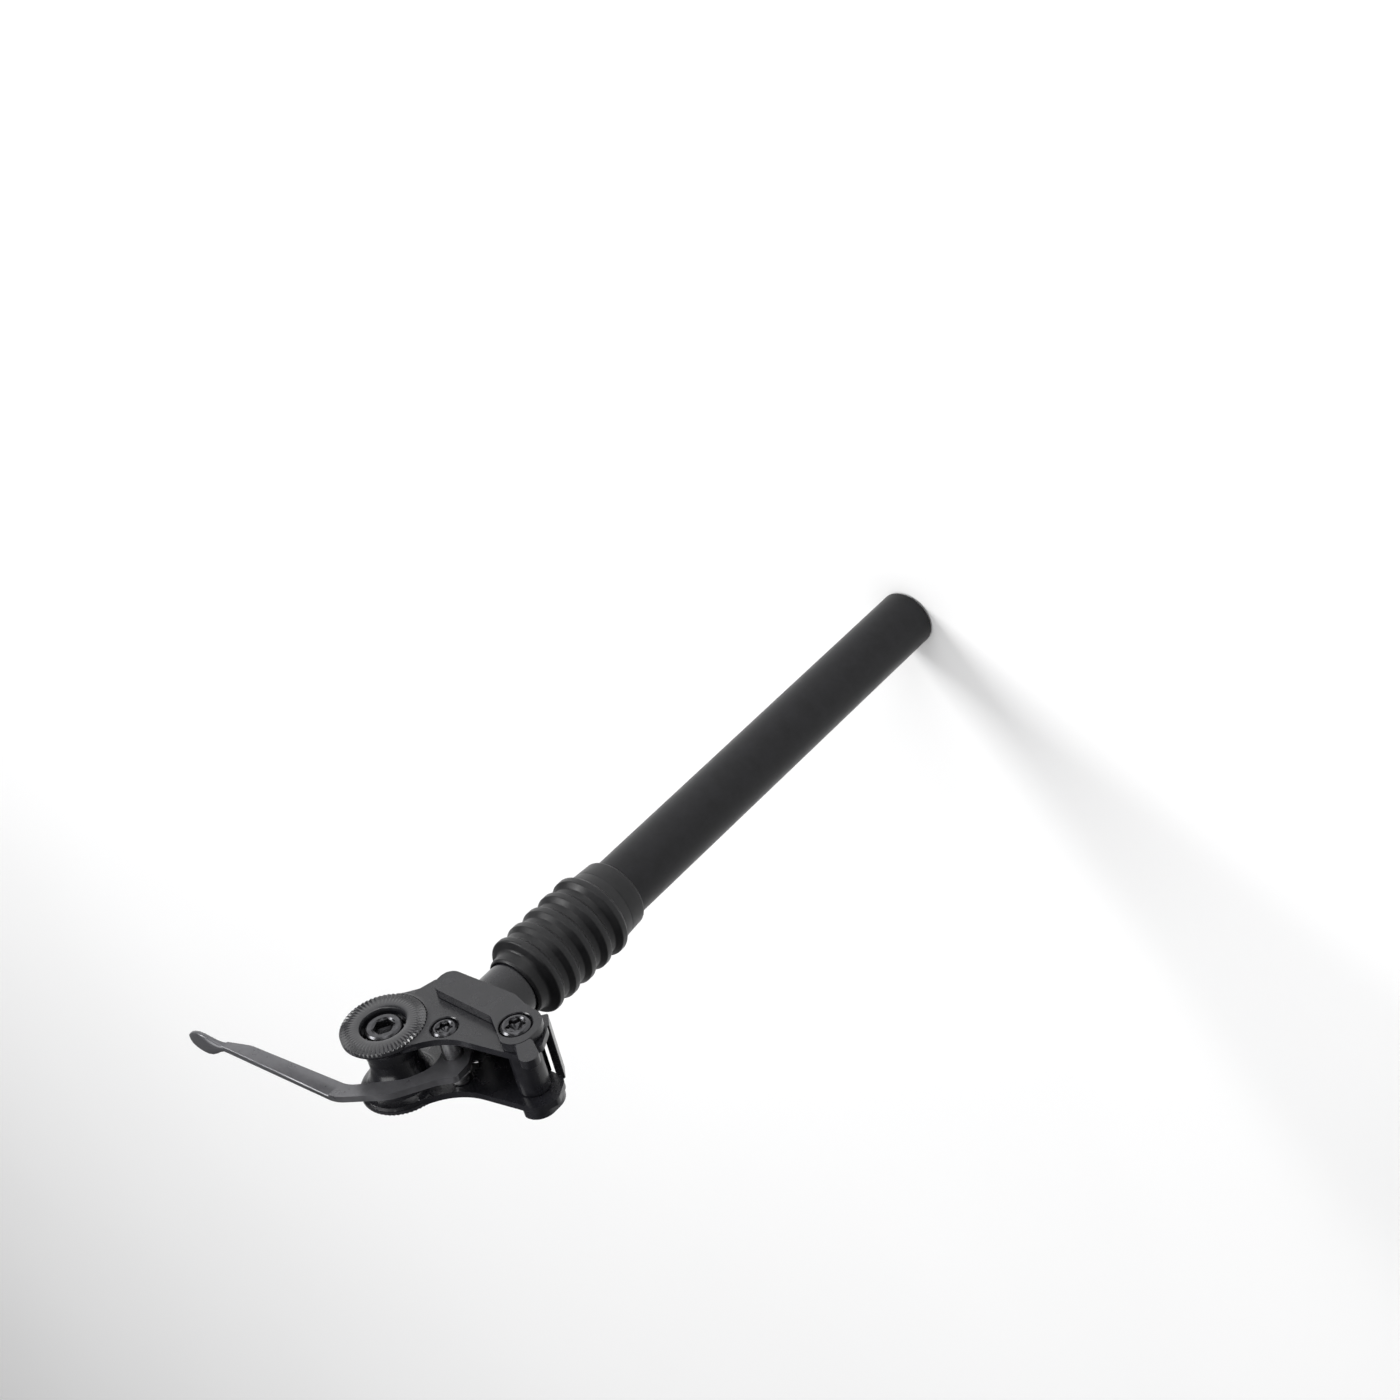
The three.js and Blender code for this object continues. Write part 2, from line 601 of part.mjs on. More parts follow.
part("saddle_yoke", cut(
  join(
    across(turned(crossTubeProfile), CLAMP),
    ...mirrored(armInner, ARM_OUTER).map((span) => plate(armShape(), ...span, ARM_ROUNDING)),
  ),
  ...mirrored(discSeat, ARM_OUTER + 1).map((span) => across(rod(discR + SEAT_GAP, ...span, FINE), CLAMP)),
  ...mirrored(counterboreFloor, ARM_OUTER + 1).map((span) => across(rod(DISC_BORE / 2, ...span, FINE), CLAMP)),
  across(rod(clampR + SEAT_GAP, -ARM_OUTER, ARM_OUTER), CLAMP),
  across(rod(bushOuterR + SEAT_GAP, -ARM_OUTER - 1, ARM_OUTER + 1), PIVOT),
  across(rod(CATCH_PIN_OD / 2 + NOTCH_GAP, -ARM_OUTER - 1, ARM_OUTER + 1), CATCH),
  plate(notchShape(), -ARM_OUTER - 1, ARM_OUTER + 1),
  across(rod(axleR + SEAT_GAP, -ARM_OUTER - 1, ARM_OUTER + 1), AXLE),
  ...mirrored(axleRecess, ARM_OUTER + 1).map((span) => across(rod(AXLE_HEAD_OD / 2 + 0.5, ...span), AXLE)),
), paintedHead);

// A serrated ring about Z with its teeth on the face at the bottom: every other spoke of the
// toothed band is sunk, which leaves radial V teeth.
function serratedRing(low, high) {
  const bandR = discR - TOOTH_BAND;
  const profile = [
    [DISC_BORE / 2, low], [bandR, low], [discR, low + 0.2], [discR, high],
    [DISC_BORE / 2, high], [DISC_BORE / 2, low],
  ];
  const geometry = turned(profile, 2 * TEETH);
  const position = geometry.attributes.position;
  for (let i = 0; i < position.count; i++) {
    const spoke = Math.floor(i / profile.length);
    const sunk = i % profile.length === 2 && spoke % 2 === 1;
    if (sunk) position.setZ(i, low + 0.2 + TOOTH_DEPTH);
  }
  return geometry;
}

part("serrated_disc_left", across(serratedRing(-DISC_OUTER, -discInner), CLAMP), paintedHead);
part("serrated_disc_right", across(serratedRing(-DISC_OUTER, -discInner), CLAMP)
  .translate(-CLAMP.x, 0, -CLAMP.z).rotateZ(Math.PI).translate(CLAMP.x, 0, CLAMP.z), paintedHead);

for (const [side, span] of [["left", [-ARM_OUTER, -armInner]], ["right", [armInner, ARM_OUTER]]]) {
  part(`pivot_bush_${side}`, across(
    ring(pivotR + RUN_GAP, bushOuterR, ...span, COARSE), PIVOT), slipperyPlastic);
  const washer = mirrored(counterboreFloor + SEAT_GAP, counterboreFloor + SEAT_GAP + CLAMP_WASHER)
    .find(([low]) => Math.sign(low) === Math.sign(span[0]));
  part(`clamp_washer_${side}`, across(
    ring(clampR + SEAT_GAP, DISC_BORE / 2 - 0.6, ...washer, COARSE), CLAMP), brightSteel);
}

part("pivot_sleeve", across(ring(pivotR + SEAT_GAP, PIVOT_SLEEVE_OD / 2,
  -armInner + SEAT_GAP, armInner - SEAT_GAP, COARSE), PIVOT), paintedHead);

const clampHeadBack = -counterboreFloor - 2 * SEAT_GAP - CLAMP_WASHER;
part("clamp_bolt", cut(
  join(
    across(rod(clampR, clampHeadBack - 0.5, DISC_OUTER - 1), CLAMP),
    across(head(CLAMP_HEAD_OD / 2, clampHeadBack - CLAMP_HEAD_HEIGHT, clampHeadBack, COARSE), CLAMP),
  ),
  across(hexagon(CLAMP_HEX, clampHeadBack - CLAMP_HEAD_HEIGHT - 1, clampHeadBack - 1.5), CLAMP),
), blackSteel);

part("clamp_nut", cut(
  across(hexagon(CLAMP_NUT_FLATS, -clampHeadBack, -clampHeadBack + CLAMP_NUT_HEIGHT), CLAMP),
  across(rod(clampR + SEAT_GAP, 0, ARM_OUTER + 2), CLAMP),
), blackSteel);

// ---- Latch lever and its axle -----------------------------------------------------------

const axleFace = -ARM_OUTER - 0.1;
const axleBack = -axleRecess - SEAT_GAP;
part("latch_axle", cut(
  join(
    across(rod(axleR, axleBack - 0.5, ARM_OUTER - 0.5, 20), AXLE),
    across(head(AXLE_HEAD_OD / 2, axleFace, axleBack), AXLE),
  ),
  across(hexagon(AXLE_HEX, axleFace - 1, axleBack - 0.4), AXLE),
), blackSteel);

part("latch_axle_nut", across(
  ring(axleR + SEAT_GAP, AXLE_HEAD_OD / 2, -axleBack, -axleFace, COARSE), AXLE), blackSteel);

part("latch_spacer", across(
  ring(axleR + SEAT_GAP, spacerR, -armInner + SEAT_GAP, armInner - SEAT_GAP, COARSE), AXLE), brightSteel);

// The lever: a handle, a band that drops in front of the cross tube, a hub and a hook. The hook's
// face follows the pin's arc, so that it only just clears the pin.
function leverShape() {
  const hookFace = CATCH_PIN_OD / 2 + HOOK_GAP;
  const hookTop = CATCH.z + CATCH_PIN_OD / 2 + 1.2;
  const hookBottom = CATCH.z - CATCH_PIN_OD / 2 - HOOK_DROP;
  const hookMiddle = (hookTop + hookBottom) / 2;
  return outline([
    [HANDLE_END_X + 2, HANDLE_TOP],
    [AXLE.x + 27.5, HANDLE_TOP, 14],
    [AXLE.x + 8, AXLE.z + 29.5, 18],
    [AXLE.x - 4, AXLE.z + 14.6, 8],
    [AXLE.x - 10.5, AXLE.z + 9.5, 3],
    [AXLE.x - 9.5, AXLE.z + 1, 5],
    [AXLE.x - 3.5, AXLE.z - 7.2, 4],
    [AXLE.x + 8, hookTop + 1.2, 2],
    [...swing(hookTop, hookFace), 0.6],
    swing(hookMiddle, hookFace),
    swing(hookBottom, hookFace),
    [...swing(hookBottom, hookFace + HOOK_WIDTH * 0.7), 2],
    [...swing(hookTop + 2, hookFace + HOOK_WIDTH), 3],
    [AXLE.x + LEVER_HUB_RADIUS, AXLE.z - 3, 5],
    [AXLE.x + 1.5, AXLE.z + 9, 12],
    [AXLE.x + 8, AXLE.z + 20, 14],
    [AXLE.x + 27, HANDLE_TOP - LEVER_WIDTH, 12],
    [HANDLE_END_X - 12, HANDLE_TOP - LEVER_WIDTH * 0.8, 20],
    [HANDLE_END_X, HANDLE_TOP - LEVER_WIDTH * 0.45],
  ]);
}

// The flat oval that the handle's end is twisted and beaten into.
function padShape() {
  const shape = new THREE.Shape();
  return shape.absellipse(PAD_CENTRE_X, 0, PAD_LENGTH / 2, PAD_WIDTH / 2, 0, 2 * Math.PI);
}
const pad = new THREE.ExtrudeGeometry(padShape(), {
  depth: PAD_THICKNESS, curveSegments: 12, bevelEnabled: false,
}).translate(0, 0, PAD_Z - PAD_THICKNESS / 2);

part("latch_lever", cut(
  join(plate(leverShape(), -LEVER_THICKNESS / 2, LEVER_THICKNESS / 2), pad),
  across(rod(spacerR + RUN_GAP, -LEVER_THICKNESS, LEVER_THICKNESS), AXLE),
), paintedHead);

// The return spring's wire: a straight leg, turns about Z that climb, and another leg.
class LeggedCoil extends THREE.Curve {
  constructor(radius, rise, turns, leg) {
    super();
    Object.assign(this, { radius, rise, sweep: 2 * Math.PI * turns, leg });
  }
  getPoint(t, target = new THREE.Vector3()) {
    const arc = this.radius * this.sweep;
    const run = t * (arc + 2 * this.leg) - this.leg;
    const turned = THREE.MathUtils.clamp(run, 0, arc) / this.radius;
    const past = run - turned * this.radius;
    return target.set(
      this.radius * Math.cos(turned) - past * Math.sin(turned),
      this.radius * Math.sin(turned) + past * Math.cos(turned),
      (this.rise * turned) / this.sweep,
    );
  }
}

const latchCoilR = spacerR + SEAT_GAP + LATCH_SPRING_WIRE / 2;
const latchCoilRise = LATCH_SPRING_TURNS * (LATCH_SPRING_WIRE + 0.2);
part("latch_spring", across(new THREE.ExtrudeGeometry(
  new THREE.Shape().absarc(0, 0, LATCH_SPRING_WIRE / 2, 0, 2 * Math.PI),
  {
    extrudePath: new LeggedCoil(latchCoilR, latchCoilRise, LATCH_SPRING_TURNS, 7),
    steps: 14 * LATCH_SPRING_TURNS, curveSegments: 3, bevelEnabled: false,
  },
).rotateZ(Math.PI / 3).translate(0, 0, LEVER_THICKNESS / 2 + LATCH_SPRING_WIRE / 2 + SEAT_GAP), AXLE), brightSteel);

export default seatpost;
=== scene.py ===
# %% [markdown]
# # A suspension seatpost with a tilting saddle head
# The real object is a bicycle part. A black tube slides into the frame, a ribbed rubber boot
# covers its spring, and a cast head carries the saddle between two serrated discs. A long handle
# lets go of a catch, so that the saddle tips up.
# This lesson loads the engineering model first. Then it builds finer pieces for everything that
# shows, in the same places, and gives every piece a finish of its own.

# %% Load the engineering model
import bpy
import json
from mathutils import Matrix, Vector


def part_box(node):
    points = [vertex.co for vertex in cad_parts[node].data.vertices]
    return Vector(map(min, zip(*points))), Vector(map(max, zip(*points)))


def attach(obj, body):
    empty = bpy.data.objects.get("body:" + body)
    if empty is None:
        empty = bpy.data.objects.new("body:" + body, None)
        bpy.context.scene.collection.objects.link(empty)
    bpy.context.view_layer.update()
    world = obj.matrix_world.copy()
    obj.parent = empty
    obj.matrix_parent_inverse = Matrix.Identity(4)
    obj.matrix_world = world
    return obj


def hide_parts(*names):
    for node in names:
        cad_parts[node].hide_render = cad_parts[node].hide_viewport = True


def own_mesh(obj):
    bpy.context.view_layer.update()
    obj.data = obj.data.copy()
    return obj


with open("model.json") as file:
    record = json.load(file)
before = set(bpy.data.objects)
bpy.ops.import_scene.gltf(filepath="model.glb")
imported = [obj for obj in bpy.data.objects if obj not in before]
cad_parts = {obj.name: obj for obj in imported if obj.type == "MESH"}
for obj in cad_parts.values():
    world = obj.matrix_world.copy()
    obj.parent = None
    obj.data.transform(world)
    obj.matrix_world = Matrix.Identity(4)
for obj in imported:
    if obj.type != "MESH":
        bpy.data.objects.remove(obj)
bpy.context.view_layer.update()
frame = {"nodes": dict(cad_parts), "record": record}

# %% Tools from Blender and the maths library
import json
from math import atan2, cos, hypot, pi, radians, sin, sqrt, tan

import bmesh
import bpy
from mathutils import Matrix, Vector

MM = 0.001  # the lesson's sizes are in millimetres and Blender's are in metres

# %% [markdown]
# ## Where things are
# Each engineering node knows its own box. The four axes that the head is built on are the
# middles of four turned parts, so they are read from those boxes and never typed in again.


# %% Measure the axes
def middle(node):
    low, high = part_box(node)
    return (low + high) / 2 / MM


def span(node):
    low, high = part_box(node)
    return low / MM, high / MM


PIVOT = middle("pivot_sleeve")  # the saddle tips about this axis
CLAMP = middle("serrated_disc_left")  # the saddle's clamps bolt on here
AXLE = middle("latch_spacer")  # the lever swings on this one
CATCH = middle("catch_pin")  # the pin that the lever's hook holds
for name, place in [("pivot", PIVOT), ("clamp", CLAMP), ("axle", AXLE), ("catch", CATCH)]:
    print(f"{name:6s} axis at x {place.x:6.2f}, z {place.z:6.2f} mm")

# %% [markdown]
# ## Camera
# The post is seen from above and in front, with the camera rolled so that the tube runs up to
# the right. A roll like this can't be given by a target alone, so the camera's own right, up and
# back directions are written into its matrix.

# %% Make the camera
CAMERA_PLACE = Vector((-0.68475, -0.68243, 0.79381))
CAMERA_RIGHT = Vector((-0.76735, 0.20282, -0.60831))
CAMERA_UP = Vector((0.22226, -0.80572, -0.54902))
LENS = 69.37  # millimetres on a 36 mm sensor


def make_camera():
    data = bpy.data.cameras.new("camera")
    data.lens = LENS
    data.sensor_width = 36
    data.clip_start, data.clip_end = 0.05, 30
    camera = bpy.data.objects.new("camera", data)
    bpy.context.scene.collection.objects.link(camera)
    axes = (CAMERA_RIGHT, CAMERA_UP, CAMERA_RIGHT.cross(CAMERA_UP))
    turn = Matrix([axis.normalized() for axis in axes]).transposed().to_4x4()
    camera.matrix_world = Matrix.Translation(CAMERA_PLACE) @ turn
    bpy.context.scene.camera = camera


make_camera()
print("camera is", round(CAMERA_PLACE.length, 3), "m from the tube's end")

# %% [markdown]
# ## Floor and studio light
# A black object needs something bright to reflect, or it turns into a hole. A pale floor and
# three soft boxes do that. The upright sides of the head mirror the floor, which gives them their
# grey sheen, so the big box overhead is there to light the floor. The box in front fills the
# shade, and the small one at the rear glints in the rims and sockets. The room itself is dim and
# gets darker towards the top, which keeps the upward faces deep black.

# %% Build the floor
FLOOR_SIZE = 14
FLOOR_DROP = 0.0004  # metres below the tube's end, so that the two never flicker


def node_tree(name):
    """A new material with its shader and a helper that adds nodes to it."""
    material = bpy.data.materials.new(name)
    material.use_nodes = True
    tree = material.node_tree
    shader = tree.nodes["Principled BSDF"]

    def add(kind, inputs=None, **settings):
        node = tree.nodes.new("ShaderNode" + kind)
        for setting, value in settings.items():
            setattr(node, setting, value)
        for socket, value in (inputs or {}).items():
            if isinstance(value, bpy.types.NodeSocket):
                tree.links.new(value, node.inputs[socket])
            else:
                node.inputs[socket].default_value = value
        return node

    return material, shader, add


def floor_finish():
    material, shader, add = node_tree("studio_floor")
    place = add("TexCoord").outputs["Object"]
    cloud = add("TexNoise", {"Vector": place, "Scale": 3.0, "Detail": 2.0})
    tone = add("ValToRGB", {"Fac": cloud.outputs["Fac"]})
    tone.color_ramp.elements[0].color = (0.90, 0.90, 0.90, 1)
    tone.color_ramp.elements[1].color = (0.94, 0.94, 0.94, 1)
    material.node_tree.links.new(tone.outputs["Color"], shader.inputs["Base Color"])
    shader.inputs["Roughness"].default_value = 0.9
    shader.inputs["Specular IOR Level"].default_value = 0.1
    return material


def make_floor():
    mesh = bmesh.new()
    bmesh.ops.create_grid(mesh, x_segments=8, y_segments=8, size=FLOOR_SIZE / 2)
    data = bpy.data.meshes.new("floor")
    mesh.to_mesh(data)
    floor = bpy.data.objects.new("floor", data)
    floor.location.z = -FLOOR_DROP
    data.materials.append(floor_finish())
    bpy.context.scene.collection.objects.link(floor)


make_floor()
print("floor is", FLOOR_SIZE, "m across")

# %% Hang the lights
HEAD_PLACE = Vector((0, 0, 0.25))


def softbox(name, place, size, power):
    """A square light that faces the head."""
    data = bpy.data.lights.new(name, "AREA")
    data.shape = "SQUARE"
    data.size = size
    data.energy = power
    light = bpy.data.objects.new(name, data)
    light.location = place
    light.rotation_mode = "QUATERNION"
    light.rotation_quaternion = (HEAD_PLACE - Vector(place)).to_track_quat("-Z", "Y")
    bpy.context.scene.collection.objects.link(light)
    print(f"{name}: {power} W, {size} m square")


SOFT_BOXES = [  # name, place in metres, size in metres, watts
    ("front_box", (-0.3, -2.2, 0.8), 1.6, 22),
    ("rear_box", (1.05, -1.0, 1.3), 0.7, 22),
    ("top_box", (0.0, 0.0, 3.4), 3.0, 95),
]
for box in SOFT_BOXES:
    softbox(*box)

# %% Light the room
ROOM_LIGHT = 0.2
HORIZON, OVERHEAD = (1, 1, 1, 1), (0.3, 0.3, 0.31, 1)
OVERHEAD_FROM = 0.5  # how high the darker part begins, from the horizon at 0 to straight up at 1


def make_room():
    """Room light that is bright near the horizon and darker overhead."""
    world = bpy.data.worlds.new("room")
    world.use_nodes = True
    tree = world.node_tree
    back = tree.nodes["Background"]
    place = tree.nodes.new("ShaderNodeTexCoord")
    split = tree.nodes.new("ShaderNodeSeparateXYZ")
    ramp = tree.nodes.new("ShaderNodeValToRGB")
    tree.links.new(place.outputs["Generated"], split.inputs["Vector"])
    tree.links.new(split.outputs["Z"], ramp.inputs["Fac"])
    tree.links.new(ramp.outputs["Color"], back.inputs["Color"])
    ramp.color_ramp.elements[0].color = HORIZON
    ramp.color_ramp.elements[1].color = OVERHEAD
    ramp.color_ramp.elements[1].position = OVERHEAD_FROM
    back.inputs["Strength"].default_value = ROOM_LIGHT
    bpy.context.scene.world = world


make_room()
bpy.context.scene.view_settings.view_transform = "Standard"
print("room light is", ROOM_LIGHT)

# %% [markdown]
# ## Finishes
# No real surface is one flat colour. Powder coat has a fine orange-peel skin, rubber has a dry
# grain and a little dust, and steel shows the marks of the lathe. Every finish here is worked
# out from the point's own place on the piece, so nothing needs to be unwrapped, and the grain
# keeps its real size on a big piece or a small one.


# %% Helpers for varied surfaces
CLOUD_RANGE = (0.3, 0.7)  # a noise seldom goes past these, so the colours are spread over them


def link(material, socket, target):
    material.node_tree.links.new(socket, target)


def varied(material, shader, add, place, dark, light, rough, patch, lean=(1, 1, 1)):
    """Colour and roughness that drift a little over patches of a given size in millimetres."""
    scaled = add("Mapping", {"Vector": place, "Scale": lean}).outputs["Vector"]
    cloud = add("TexNoise", {"Vector": scaled, "Scale": 1 / (patch * MM),
                             "Detail": 5.0, "Roughness": 0.6})
    tone = add("ValToRGB", {"Fac": cloud.outputs["Fac"]})
    least, most = CLOUD_RANGE
    tone.color_ramp.elements[0].position = least
    tone.color_ramp.elements[1].position = most
    tone.color_ramp.elements[0].color = (*dark, 1)
    tone.color_ramp.elements[1].color = (*light, 1)
    gloss = add("MapRange", {"Value": cloud.outputs["Fac"], "From Min": least, "From Max": most,
                             "To Min": rough[0], "To Max": rough[1]})
    link(material, tone.outputs["Color"], shader.inputs["Base Color"])
    link(material, gloss.outputs["Result"], shader.inputs["Roughness"])


def grain(material, shader, add, place, sizes, height, strength):
    """Fine relief: the sum of noises whose grains are given in millimetres."""
    total = None
    for size in sizes:
        noise = add("TexNoise", {"Vector": place, "Scale": 1 / (size * MM), "Detail": 2.0})
        bumps = noise.outputs["Fac"]
        if total is None:
            total = bumps
        else:
            total = add("Math", {0: total, 1: bumps}, operation="ADD").outputs[0]
    relief = add("Bump", {"Height": total, "Strength": strength, "Distance": height * MM})
    link(material, relief.outputs["Normal"], shader.inputs["Normal"])


# %% [markdown]
# ### Powder coat
# The tube, the head and the handle are sprayed with powder and baked. The powder melts into a
# tough skin that is never quite flat: its ripples are about half a millimetre across and a few
# microns high. The tube's coat is dull and black. The head's and the discs' coats are smoother
# and glossier, and the lever's has some metal in it, so it is the palest of them. The discs'
# colour is the head's paint made a little lighter, which is painted glare on their teeth.


# %% Make the powder coats
PEEL = (0.55, 0.55 * 0.35)  # the ripples' two sizes, in millimetres
PEEL_HEIGHT = 0.006


def powder_coat(name, dark, light, rough, metal, shine):
    material, shader, add = node_tree(name)
    place = add("TexCoord").outputs["Object"]
    varied(material, shader, add, place, dark, light, rough, patch=7)
    grain(material, shader, add, place, PEEL, PEEL_HEIGHT, strength=0.5)
    shader.inputs["Metallic"].default_value = metal
    shader.inputs["Specular IOR Level"].default_value = shine
    return material


TUBE_PAINT = powder_coat(
    "tube_satin_black", dark=(0.009, 0.009, 0.010), light=(0.014, 0.014, 0.016),
    rough=(0.34, 0.44), metal=0.0, shine=0.2)
HEAD_PAINT = powder_coat(
    "head_graphite_coat", dark=(0.008, 0.008, 0.010), light=(0.014, 0.014, 0.017),
    rough=(0.22, 0.30), metal=0.0, shine=0.45)
# the discs have the head's paint with a lighter base colour: painted glare on the teeth
DISC_PAINT_WITH_PAINTED_GLARE = powder_coat(
    "disc_coat_with_painted_glare", dark=(0.012, 0.012, 0.014), light=(0.022, 0.022, 0.025),
    rough=(0.20, 0.28), metal=0.0, shine=0.65)
LEVER_PAINT = powder_coat(
    "lever_satin_coat", dark=(0.085, 0.085, 0.091), light=(0.12, 0.12, 0.128),
    rough=(0.26, 0.34), metal=0.5, shine=0.7)
print("powder coats made")

# %% [markdown]
# ### Rubber
# The boot is moulded from soft black rubber. It is nearly matt, and it has a dry grain from the
# mould. A trace of sheen stands for the pale dust that rubber holds.


# %% Make the rubber
def make_rubber():
    material, shader, add = node_tree("boot_black_rubber")
    place = add("TexCoord").outputs["Object"]
    varied(material, shader, add, place, dark=(0.006, 0.006, 0.007), light=(0.012, 0.012, 0.013),
           rough=(0.36, 0.48), patch=4)
    grain(material, shader, add, place, sizes=(0.5, 0.14), height=0.014, strength=0.5)
    shader.inputs["Specular IOR Level"].default_value = 0.3
    shader.inputs["Sheen Weight"].default_value = 0.04
    shader.inputs["Sheen Roughness"].default_value = 0.5
    return material


RUBBER = make_rubber()
print("boot rubber made")

# %% [markdown]
# ### Steel, anodised aluminium, plastic and elastomer
# Turned steel has rings round its axis. The noise is stretched along the piece, which draws
# them out as fine lines. The bolts are blackened, so they are dark but they still shine. The
# pale amber elastomer and the slippery plastic bushes only show when the post is taken apart.


# %% Make the metals and plastics
ACROSS, ALONG = (1, 14, 1), (1, 1, 14)  # rings about an axis across the post, or along it


def turned_metal(name, dark, light, rough, metal, lean=ACROSS):
    material, shader, add = node_tree(name)
    place = add("TexCoord").outputs["Object"]
    varied(material, shader, add, place, dark, light, rough, patch=2.5, lean=lean)
    grain(material, shader, add, place, sizes=(0.35,), height=0.003, strength=0.4)
    shader.inputs["Metallic"].default_value = metal
    return material


def soft_plastic(name, dark, light, rough, see_in=0.0):
    material, shader, add = node_tree(name)
    place = add("TexCoord").outputs["Object"]
    varied(material, shader, add, place, dark, light, rough, patch=5)
    grain(material, shader, add, place, sizes=(0.4,), height=0.005, strength=0.4)
    shader.inputs["Subsurface Weight"].default_value = see_in
    shader.inputs["Subsurface Scale"].default_value = 0.002
    return material


# %% Make each of them
BLACK_STEEL = turned_metal(
    "black_oxide_steel", dark=(0.045, 0.045, 0.048), light=(0.085, 0.085, 0.09),
    rough=(0.18, 0.30), metal=0.9)
BRIGHT_STEEL = turned_metal(
    "bare_steel", dark=(0.40, 0.40, 0.41), light=(0.55, 0.55, 0.56), rough=(0.24, 0.36), metal=1.0)
ANODISED = turned_metal(
    "dark_anodised", dark=(0.035, 0.036, 0.04), light=(0.055, 0.056, 0.06),
    rough=(0.28, 0.38), metal=0.7, lean=ALONG)
BUSH_PLASTIC = soft_plastic(
    "bush_plastic", dark=(0.045, 0.045, 0.043), light=(0.06, 0.06, 0.057), rough=(0.4, 0.5))
ELASTOMER = soft_plastic(
    "amber_elastomer", dark=(0.30, 0.20, 0.06), light=(0.38, 0.27, 0.09),
    rough=(0.4, 0.55), see_in=0.4)
FINISH_OF_SLOT = {
    "tube_paint": TUBE_PAINT, "head_paint": HEAD_PAINT, "lever_paint": LEVER_PAINT,
    "boot_rubber": RUBBER, "black_steel": BLACK_STEEL, "bright_steel": BRIGHT_STEEL,
    "hard_anodised": ANODISED, "bush_plastic": BUSH_PLASTIC, "elastomer": ELASTOMER,
}

# %% [markdown]
# ## Shaping helpers
# Nearly every piece is one of two things. It is turned on a lathe, or it is cut from plate to an
# outline. Both start from a list of corners, each with its own radius, because a real corner is
# never sharp and it is the small radius that catches the light.


# %% Draw an outline with rounded corners
def rounded(corners, steps=6):
    """Points of a closed outline from (a, b, radius) corners."""
    points = []
    for i, (a, b, radius) in enumerate(corners):
        here = Vector((a, b))
        before = (Vector(corners[i - 1][:2]) - here).normalized()
        after = (Vector(corners[(i + 1) % len(corners)][:2]) - here).normalized()
        if radius == 0:
            points.append(here)
            continue
        half = before.angle(after) / 2
        start, end = (here + side * radius / tan(half) for side in (before, after))
        centre = here + (before + after).normalized() * radius / sin(half)
        first = atan2(*reversed(start - centre))
        turn = (atan2(*reversed(end - centre)) - first + pi) % (2 * pi) - pi
        for k in range(steps + 1):
            angle = first + turn * k / steps
            points.append(centre + radius * Vector((cos(angle), sin(angle))))
    return points


def piece_from(name, mesh, place=None):
    """A Blender object from a mesh in millimetres. Given a place, it lies across the post there."""
    bmesh.ops.remove_doubles(mesh, verts=mesh.verts, dist=1e-4)
    bmesh.ops.recalc_face_normals(mesh, faces=mesh.faces)
    bmesh.ops.triangulate(mesh, faces=[face for face in mesh.faces if len(face.verts) > 4])
    if place:
        laid = Matrix.Rotation(-pi / 2, 4, "X")
        mesh.transform(Matrix.Translation((place.x, 0, place.z)) @ laid)
    mesh.transform(Matrix.Scale(MM, 4))
    data = bpy.data.meshes.new(name)
    mesh.to_mesh(data)
    mesh.free()
    piece = bpy.data.objects.new(name, data)
    bpy.context.scene.collection.objects.link(piece)
    return piece


# %% Turn a piece on the lathe
def revolve(mesh, points, sides):
    """Faces between the rings of (radius, height) points."""
    rings = []
    for radius, height in points:
        count = sides if radius > 1e-6 else 1
        turns = [2 * pi * i / sides for i in range(count)]
        rings.append([mesh.verts.new((radius * cos(t), radius * sin(t), height)) for t in turns])
    if len(rings[0]) > 1:
        rings.append(rings[0])
    for low, high in zip(rings, rings[1:]):
        for i in range(sides):
            around = [low[i % len(low)], low[(i + 1) % len(low)],
                      high[(i + 1) % len(high)], high[i % len(high)]]
            corners = list(dict.fromkeys(around))
            if len(corners) > 2:
                mesh.faces.new(corners)


def turned(name, corners, place=None, sides=96, steps=4):
    """A turned piece from (radius, height, corner radius) corners."""
    mesh = bmesh.new()
    revolve(mesh, rounded(corners, steps), sides)
    return piece_from(name, mesh, place)


# %% Cut a piece from plate
ROUND_RIM, FLAT_RIM = 0.5, 0.3  # the bevel's profile: a true arc, or nearly a flat chamfer


def slab(name, points, low, high, rim=0.0, rim_steps=4, rim_shape=ROUND_RIM):
    """An XZ outline given its thickness in Y, with rounded or eased flat rims."""
    mesh = bmesh.new()
    sides = [[mesh.verts.new((x, y, z)) for x, z in points] for y in (low, high)]
    for side in sides:
        mesh.faces.new(side)
    for i in range(len(points)):
        mesh.faces.new((sides[0][i - 1], sides[0][i], sides[1][i], sides[1][i - 1]))
    if rim:
        edges = [e for e in mesh.edges if abs(e.verts[0].co.y - e.verts[1].co.y) < 1e-6]
        bmesh.ops.bevel(mesh, geom=edges, offset=rim, segments=rim_steps, profile=rim_shape,
                        affect="EDGES", clamp_overlap=False)
    return piece_from(name, mesh)


# %% Join and cut solids
def worked(piece, operation, tools):
    """The piece after the tools are joined to it or cut from it. Triangles keep each step exact."""
    for tool in tools:
        step = piece.modifiers.new(tool.name, "BOOLEAN")
        step.operation, step.object, step.solver = operation, tool, "EXACT"
        piece.modifiers.new("triangles", "TRIANGULATE")
    view = bpy.context.evaluated_depsgraph_get()
    data = bpy.data.meshes.new_from_object(piece.evaluated_get(view))
    piece.modifiers.clear()
    piece.data = data
    for tool in tools:
        bpy.data.objects.remove(tool)
    return piece


def joined(piece, *tools):
    return worked(piece, "UNION", tools)


